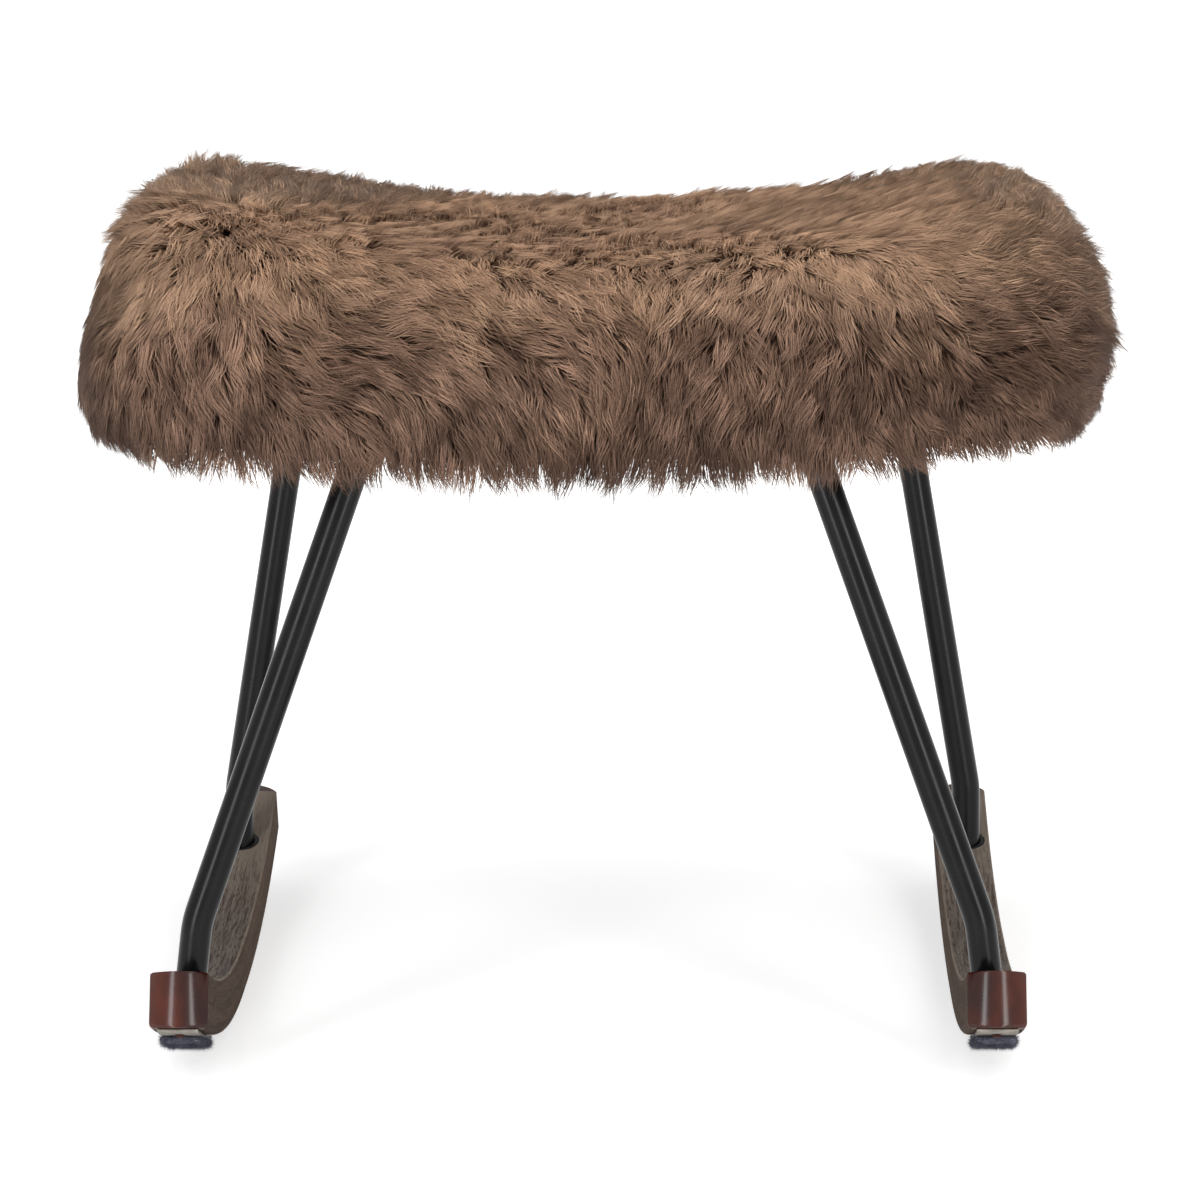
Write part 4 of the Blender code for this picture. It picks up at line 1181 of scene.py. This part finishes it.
def timberShading(graph):
    blend, between, maths = graph.blend, graph.between, graph.maths
    place = graph.place()
    x, y, z = graph.split(place)
    smoothUp = graph.facing("Normal")[2]
    sideways, endways, upwards = graph.facing()
    # the grain follows the curve: height is measured square to the foot
    foreEnd, aftEnd = (rocker["restAlong"] + way * rocker["restFlat"] / 2 for way in (-1, 1))
    beyond = maths("MINIMUM", y - foreEnd, 0) + maths("MAXIMUM", y - aftEnd, 0)
    radius = blend(y > 0, rocker["frontRadius"], rocker["rearRadius"], "FLOAT")
    height = radius - maths("LENGTH", graph.vector(beyond, radius - z))
    along = graph.vector(x, y, height)
    wander = graph.noise(along, 14) * timber["wander"]
    along = maths("ADD", along, graph.vector(wander, 0, wander))
    figure, fine, pores, streaks = (
        graph.grain(along, *timber[name]) for name in ("figure", "fine", "pores", "streaks")
    )
    pores, streaks = between(pores, 0.54, 0.66), between(streaks, 0.50, 0.62)
    grain = figure * 0.45 + fine * 0.55
    onTop = between(smoothUp, 0.80, 0.97)
    # the top's paler, greyer colour is partly a painted reflection of the pale surroundings
    side, top = graph.tint(grain, 0.38, 0.62, timber["side"]), graph.tint(grain, 0.40, 0.60, timber["top"])
    # paler on the far rise: a painted reflection of the pale surroundings
    top = blend(between(y, -0.02, 0.16, 0.0, 0.75), top, timber["wornEdge"])
    fade = between(y, 0.03, 0.16, 1.0, 0.2)
    top = blend(streaks * fade * 0.8, top, timber["streak"])
    top = blend(pores * fade * 0.75, top, timber["pore"])
    side = blend(between(y, -0.17, 0.03, 0.30, 0.0), side, timber["pore"])
    side = blend(pores * 0.35, side, timber["pore"])
    colour = blend(onTop, side, top)
    # the chamfer along the top is paler
    bevel = between(maths("ABSOLUTE", sideways), 0.45, 0.6)
    bevel = bevel * between(upwards, 0.45, 0.6)
    colour = blend(bevel * between(fine, 0.35, 0.6, 0.5, 1.0), colour, timber["wornEdge"])
    # the bulging end faces are lacquered up to a sharp line
    depths = []
    for distance, way in ((tipDistance, 1), (tailDistance, -1)):
        endAlong, endHeight, slope = underside(distance)
        inward = (0, way * math.cos(slope), way * math.sin(slope))
        ahead = maths("SUBTRACT", place, (0, endAlong, endHeight))
        depths.append(maths("DOT_PRODUCT", ahead, inward))
    atEnd = maths("MINIMUM", *depths) < timber["lacquerReach"]
    atEnd = atEnd * (maths("ABSOLUTE", endways) > 0.12)
    outerPart = between(maths("ABSOLUTE", x), *timber["thinning"])
    lacquer = graph.tint(graph.grain(place, *timber["clouds"]) + outerPart, 0.22, 0.88, timber["lacquer"])
    colour = blend(atEnd, colour, lacquer)
    bare = 1 - atEnd
    relief = (fine * 0.5 + (1 - pores) * 0.8) * (0.35 + onTop * 0.65) * bare
    rough = between(onTop, 0.0, 1.0, 0.80, 0.62, smooth=False)
    return {
        "Base Color": colour,
        "Roughness": blend(atEnd, rough, 0.24, "FLOAT"),
        "Coat Weight": atEnd * 0.7,
        "Normal": graph.bump(relief, 0.5, 0.0005),
    }


finishes = {
    # darkest and lightest colour of each, and roughness where it varies
    "blackCoat": ((6, 6, 7), (11, 11, 13)),
    "coatRough": (0.22, 0.28),
    "plastic": ((7, 7, 7), (15, 15, 16)),
    "zinc": ((168, 168, 170), (208, 208, 206)),
    "zincRough": (0.26, 0.42),
}


def coatShading(graph):
    cloud, speckle = graph.noise(graph.place(), 55, 3), graph.noise(graph.place(), 2600, 2, 0.6)
    return {
        "Base Color": graph.tint(cloud * 0.6 + speckle * 0.4, 0.35, 0.65, finishes["blackCoat"]),
        "Roughness": graph.between(cloud, 0.35, 0.65, *finishes["coatRough"]),
        "Normal": graph.bump(speckle, 0.05, 0.00010),
    }


def plasticShading(graph):
    speckle = graph.noise(graph.place(), 1800)
    colour = graph.tint(speckle, 0.3, 0.7, finishes["plastic"])
    return {"Base Color": colour, "Normal": graph.bump(speckle, 0.25, 0.0002)}


def zincShading(graph):
    cloud, spangle = graph.noise(graph.place(), 160, 3), graph.cells(graph.place(), 900)
    return {
        "Base Color": graph.tint(cloud, 0.3, 0.7, finishes["zinc"]),
        "Roughness": graph.between(cloud * 0.6 + spangle * 0.4, 0.2, 0.7, *finishes["zincRough"]),
        "Normal": graph.bump(spangle, 0.12, 0.0002),
    }


lacquerCoat = {"Coat_Roughness": 0.17, "Coat_IOR": 1.42}
timberFinish = makeMaterial("stainedTimber", timberShading, Specular_IOR_Level=0.05, **lacquerCoat)
blackFinish = makeMaterial("blackPowderCoat", coatShading, Specular_IOR_Level=0.18)
plasticFinish = makeMaterial("blackPlastic", plasticShading, Roughness=0.6, Specular_IOR_Level=0.2)
zincFinish = makeMaterial("zincPlate", zincShading, Metallic=1.0)
for sideName, side in sides.items():
    name = f"{sideName}_rocker"
    wood = linkObject(f"{sideName}_rocker_wood", rockerMesh(name, side))
    cutWith(wood, [socketCutter(tube[end], side) for end in ends])
    finishPiece(wood, timberFinish, smoothAngle=32)
    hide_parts(name)
    for end in ends:
        label = f"{end}_{sideName}_leg"
        leg = linkObject(f"{label}_tube", legMesh(label, tube[end], side))
        finishPiece(leg, blackFinish, smoothAngle=40)
        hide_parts(label)
        bush = linkObject(f"{label}_cup", bushMesh(tube[end], side))
        finishPiece(bush, plasticFinish, smoothAngle=40)
        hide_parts(f"{label}_bush")
print("rockers, tubes and bushes made")


# Glide pads: pale plate, dark red screw, felt with loose fibres
pad = {
    "width": 0.0215,
    "plate": 0.0016,
    "felt": 0.0038,
    "setback": 0.0035,
    "bareLength": 0.015,
    "feltLength": 0.048,
    "gap": 0.0003,
    "feltEdge": 0.0016,
    "plateEdge": 0.0005,
    "steps": 16,
    "holeAlong": 0.0105,
    "holeRadius": 0.0015,
    "fuzz": {"Density": 2300000.0, "Length": 0.0034, "Width": 0.00009, "Seed": 7},
    "fuzzLean": ((-1.25, -1.25, -3.1), (1.25, 1.25, 3.1)),
    "fuzzSize": (0.4, 1.1),
}
padColours = {
    "felt": ((50, 50, 61), (106, 106, 119)),
    "fleck": (184, 184, 194),
    "plate": ((112, 106, 98), (150, 143, 134)),
    "scuff": (130, 120, 108),
    # painted shade for the plate's side faces
    "cutEdge": (58, 48, 42),
    "screw": ((42, 24, 21), (78, 38, 32)),
}


def padRange(end, bare, length):
    if end == "front":
        start = tipDistance + pad["setback"] + bare
        return start, start + length
    stop = tailDistance - pad["setback"] - bare
    return stop - length, stop


def padStations(start, stop, edge):
    # places along the strip and how far it is drawn in there, round its ends
    steps, span = pad["steps"], stop - start - 2 * edge
    turns = [math.radians(30 * k) for k in (1, 2, 3)]
    quarter = [(edge * (1 - math.sin(turn)), edge * (1 - math.cos(turn))) for turn in turns]
    stations = [(start + way, inset) for way, inset in reversed(quarter)]
    stations += [(start + edge + span * k / steps, 0) for k in range(steps + 1)]
    return stations + [(stop - way, inset) for way, inset in quarter]


def padStrip(name, side, end, bare, length, low, high, edge):
    # a strip bent along the rocker's foot, with its edges rounded
    half, rings = pad["width"] / 2, []
    middle, reach = (high + low) / 2, (high - low) / 2 - edge
    for distance, inset in padStations(*padRange(end, bare, length), edge):
        ring = []
        for cornerX, cornerZ, first in ((1, 1, 0), (-1, 1, 90), (-1, -1, 180), (1, -1, 270)):
            for angle in (0, 30, 60, 90):
                turn = math.radians(first + angle)
                x = cornerX * (half - edge) + (edge - inset) * math.cos(turn)
                height = middle + cornerZ * reach + (edge - inset) * math.sin(turn)
                along, rise = onRocker(distance, height)
                ring.append((side * rocker["x"] + x, along, rise))
        rings.append(ring)

    def build(bm):
        loft(bm, rings)
        bmesh.ops.remove_doubles(bm, verts=bm.verts, dist=1e-7)

    return meshFrom(name, build)


def fuzzTree():
    # short loose fibres that stand and lie on the felt
    graph, given = growthTree("feltFuzz", pad["fuzz"])
    made = graph.node(
        "GeometryNodeDistributePointsOnFaces", {"distribute_method": "RANDOM"}, Mesh=given["Geometry"],
        Density=given["Density"], Seed=given["Seed"],
    )
    fibre = graph.node(
        "GeometryNodeMeshCone", {"fill_type": "NGON"}, Vertices=3, Side_Segments=1, Fill_Segments=1,
        Radius_Top=0.0, Radius_Bottom=given["Width"], Depth=given["Length"],
    )["Mesh"]
    lean = graph.chance(*pad["fuzzLean"], 3)
    settings = {"rotation_space": "LOCAL"}
    turn = graph.node("FunctionNodeRotateRotation", settings, Rotation=made["Rotation"], Rotate_By=lean)[0]
    size = graph.chance(*pad["fuzzSize"], 9)
    grown = graph.repeat(made["Points"], fibre, Rotation=turn, Scale=graph.vector(size, size, size))
    both = graph.node("GeometryNodeJoinGeometry")
    for source in (grown, given["Geometry"]):
        graph.feed(both.node, 0, source)
    graph.close(both[0], given["Material"])
    return graph.tree


def feltShading(graph):
    place = graph.place()
    mat, patches = graph.noise(place, 700, 4, 0.7, 1.2), graph.noise(place, 120)
    fibres = graph.grain(place, (300, 1400, 2200), 3, 0.6, 0.8, (0.3, 0.5, 0.2))
    colour = graph.tint(mat * 0.6 + patches * 0.4, 0.36, 0.64, padColours["felt"])
    colour = graph.blend(graph.between(fibres, 0.60, 0.72) * 0.7, colour, padColours["fleck"])
    return {"Base Color": colour, "Normal": graph.bump(mat + fibres * 0.5, 0.8, 0.0006)}


def plateShading(graph):
    cloud, scuffs = graph.noise(graph.place(), 130, 3), graph.grain(graph.place(), (1500, 220, 900), 3, 0.6)
    colour = graph.tint(cloud, 0.3, 0.7, padColours["plate"])
    colour = graph.blend(graph.between(scuffs, 0.60, 0.75) * 0.5, colour, padColours["scuff"])
    # its side faces are painted dark: painted shade
    colour = graph.blend(graph.maths("ABSOLUTE", graph.facing()[0]) > 0.5, colour, padColours["cutEdge"])
    rough = graph.between(cloud, 0.3, 0.7, 0.45, 0.6)
    return {"Base Color": colour, "Roughness": rough, "Normal": graph.bump(scuffs, 0.2, 0.0002)}


def screwShading(graph):
    cloud = graph.noise(graph.place(), 900, 3)
    colour = graph.tint(cloud, 0.3, 0.7, padColours["screw"])
    return {"Base Color": colour, "Roughness": graph.between(cloud, 0.3, 0.7, 0.5, 0.7)}


def glidePlate(name, side, end, low, high):
    length = pad["bareLength"] + pad["feltLength"]
    plate = linkObject(name, padStrip("glide", side, end, 0, length, low, high, pad["plateEdge"]))
    start, stop = padRange(end, 0, length)
    distance = start + pad["holeAlong"] if end == "front" else stop - pad["holeAlong"]
    along, rise = onRocker(distance, 0)
    slope = underside(distance)[2]
    place = placeOn(Vector((side * rocker["x"], along, rise)), Vector((0, -math.sin(slope), math.cos(slope))))
    cutWith(plate, [pin(pad["holeRadius"], 24, place)])
    return plate


feltFinish = makeMaterial("feltBlueGrey", feltShading, Roughness=0.95, Specular_IOR_Level=0.08)
plateFinish = makeMaterial("paleGlide", plateShading, Specular_IOR_Level=0.35)
screwFinish = makeMaterial("rustRedScrew", screwShading, Specular_IOR_Level=0.15)
fuzz = fuzzTree()
for sideName, side in sides.items():
    for end in ends:
        label = f"{end}_{sideName}"
        plateLow = -pad["gap"] - pad["plate"]
        plate = glidePlate(f"{label}_glide", side, end, plateLow, -pad["gap"])
        finishPiece(plate, plateFinish, smoothAngle=35)
        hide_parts(f"{label}_pad_plate")
        top = plateLow - pad["gap"]
        sizes = (pad["bareLength"], pad["feltLength"], top - pad["felt"], top, pad["feltEdge"])
        felt = linkObject(f"{label}_felt", padStrip("felt", side, end, *sizes))
        grow(felt, fuzz, {**pad["fuzz"], "Material": feltFinish})
        finishPiece(felt, feltFinish, smoothAngle=50)
        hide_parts(f"{label}_felt_pad")
        print(felt.name, len(felt.data.polygons))
print("glide pads made")


# Underside: black non-woven cloth stretched over the board and stapled along its rim
dustCloth = {
    "halfWidth": 0.224,
    "halfDepth": 0.166,
    "thickness": 0.0007,
    "gap": 0.0004,
    "rings": 26,
    "pucker": 0.0005,
    "puckers": 52,
    "boltHole": 0.0034,
    "boltFromLeg": 0.026,
    "boltSpacing": 0.045,
    "staples": {"Count": 52, "Crown": 0.0105, "Wire": 0.0011},
    "stapleInset": 0.006,
    "stapleGap": 0.0004,
}
underColours = {
    "cloth": ((17, 17, 18), (38, 38, 40)),
    "bonds": (12, 12, 13),
    "ply": ((186, 152, 108), (212, 182, 140)),
    "plies": ((140, 100, 62), (206, 172, 126)),
    "plyThickness": 0.0013,
}


def dustClothMesh():
    top = seat["boardUnderside"] - dustCloth["gap"]
    under = top - dustCloth["thickness"]
    width, depth = dustCloth["halfWidth"], dustCloth["halfDepth"]
    count, points = dustCloth["rings"], cushion["planPoints"]
    flatRings = [planRing(width * k / count, depth * k / count, top, 1) for k in range(1, count + 1)]
    rings = [[(0, 0, top)], *flatRings]
    for k in range(count, 0, -1):
        pull = (k / count) ** 7 * dustCloth["pucker"]
        ring = []
        for n, (x, y, z) in enumerate(planRing(width * k / count, depth * k / count, under, 1)):
            wave = 0.5 - 0.5 * math.cos(2 * math.pi * dustCloth["puckers"] * n / points)
            ring.append((x, y, z - pull * wave))
        rings.append(ring)
    rings.append([(0, 0, under)])
    return meshFrom("dustCloth", lambda bm: loft(bm, rings))


def boltHoles():
    holes = []
    for end in ends:
        headX, headY = tube[end]["head"]
        outer = headX - dustCloth["boltFromLeg"]
        for x in (-outer, -outer + dustCloth["boltSpacing"], outer - dustCloth["boltSpacing"], outer):
            rise = seat["boardUnderside"] + x * x / (2 * seat["sagRadius"])
            square = Vector((-x / seat["sagRadius"], 0, 1)).normalized()
            holes.append(pin(dustCloth["boltHole"], 20, placeOn(Vector((x, headY, rise)), square)))
    return holes


def stapleTree():
    graph, given = growthTree("stapleRow", dustCloth["staples"])
    line = graph.node("GeometryNodeMeshToCurve", Mesh=given["Geometry"])[0]
    row = graph.node("GeometryNodeResampleCurve", Curve=line, Count=given["Count"])[0]
    tangent = graph.node("GeometryNodeInputTangent")[0]
    wire = given["Wire"]
    crown = graph.node(
        "GeometryNodeMeshCube", Size=graph.vector(given["Crown"], wire, wire * 0.5),
        Vertices_X=2, Vertices_Y=2, Vertices_Z=2,
    )["Mesh"]
    # the crown's ends dip into the cloth
    spot = graph.node("GeometryNodeInputPosition")[0]
    share = graph.maths("ABSOLUTE", graph.split(spot)[0]) / (given["Crown"] * 0.5)
    crown = graph.node("GeometryNodeSubdivideMesh", Mesh=crown, Level=1)[0]
    dip = graph.vector(0, 0, (share ** 2) * wire * 0.35)
    crown = graph.node("GeometryNodeSetPosition", Geometry=crown, Offset=dip)[0]
    turn = graph.node("FunctionNodeAlignRotationToVector", {"axis": "X"}, Vector=tangent)[0]
    graph.close(graph.repeat(row, crown, Rotation=turn), given["Material"])
    return graph.tree


def clothShading(graph):
    web = graph.noise(graph.place(), 420, 4, 0.7, 1.0)
    bonded = graph.between(graph.cells(graph.place(), 480), 0.12, 0.30)
    colour = graph.tint(web, 0.35, 0.65, underColours["cloth"])
    colour = graph.blend(1 - bonded, colour, underColours["bonds"])
    return {"Base Color": colour, "Normal": graph.bump(bonded + web * 0.5, 0.5, 0.0005)}


def plyShading(graph):
    x, y, z = graph.split(graph.place())
    depth = z - x * x * (0.5 / seat["sagRadius"]) + y * math.tan(math.radians(-seat["tilt"]))
    plies = graph.maths("SINE", depth * (math.pi / underColours["plyThickness"]))
    grain = graph.grain(graph.place(), (12, 320, 320), 4, 0.6)
    onFace = graph.between(graph.maths("ABSOLUTE", graph.facing()[2]), 0.5, 0.7)
    face = graph.tint(grain, 0.35, 0.65, underColours["ply"])
    layers = graph.tint(plies, -0.3, 0.3, underColours["plies"])
    return {"Base Color": graph.blend(onFace, layers, face), "Normal": graph.bump(grain, 0.2, 0.0004)}


dustCover = linkObject("dust_cloth", dustClothMesh())
cutWith(dustCover, boltHoles())
dustCover.data.transform(seatPlace)
clothFinish = makeMaterial("dustClothBlack", clothShading, Roughness=0.85, Specular_IOR_Level=0.15)
finishPiece(dustCover, clothFinish, smoothAngle=60)
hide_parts("dust_cover")
flatArea = 0.5 * sum(face.area for face in dustCover.data.polygons)
2 * dustCloth["halfWidth"]
2 * dustCloth["halfDepth"]
min(flatArea, 3.99 * dustCloth["halfWidth"] * dustCloth["halfDepth"])
rimWidth, rimDepth = (dustCloth[key] - dustCloth["stapleInset"] for key in ("halfWidth", "halfDepth"))
rimLevel = seat["boardUnderside"] - dustCloth["gap"] - dustCloth["thickness"] - dustCloth["stapleGap"]
rim = planRing(rimWidth, rimDepth, rimLevel, 1)
rimMesh = bpy.data.meshes.new("staples")
rimMesh.from_pydata(rim, [(k, (k + 1) % len(rim)) for k in range(len(rim))], [])
staples = linkObject("dust_cloth_staples", rimMesh)
grow(staples, stapleTree(), {**dustCloth["staples"], "Material": zincFinish})
staples.data.transform(seatPlace)
finishPiece(staples, zincFinish, smoothAngle=30)
print("underside made")


def dress(names, material):
    for name in names:
        bpy.data.objects[name].data.materials.clear()
        bpy.data.objects[name].data.materials.append(material)


pairs = [f"{end}_{side}" for end in ends for side in sides]
dress([f"{pair}_leg_{part}" for pair in pairs for part in ("insert", "bolt")], zincFinish)
bars = [f"{end}_bar_{n}" for end in ends for n in range(1, 5)]
dress([f"{bar}_{part}" for bar in bars for part in ("bolt", "tee_nut")], zincFinish)
dress([f"{end}_cross_bar" for end in ends], blackFinish)
dress([f"{pair}_pad_screw" for pair in pairs], screwFinish)
dress(["seat_board"], makeMaterial("birchPly", plyShading, Roughness=0.7, Specular_IOR_Level=0.3))

sizes = {"cad": [list(corner) for corner in cadBox], "visual": [list(corner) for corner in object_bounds()]}
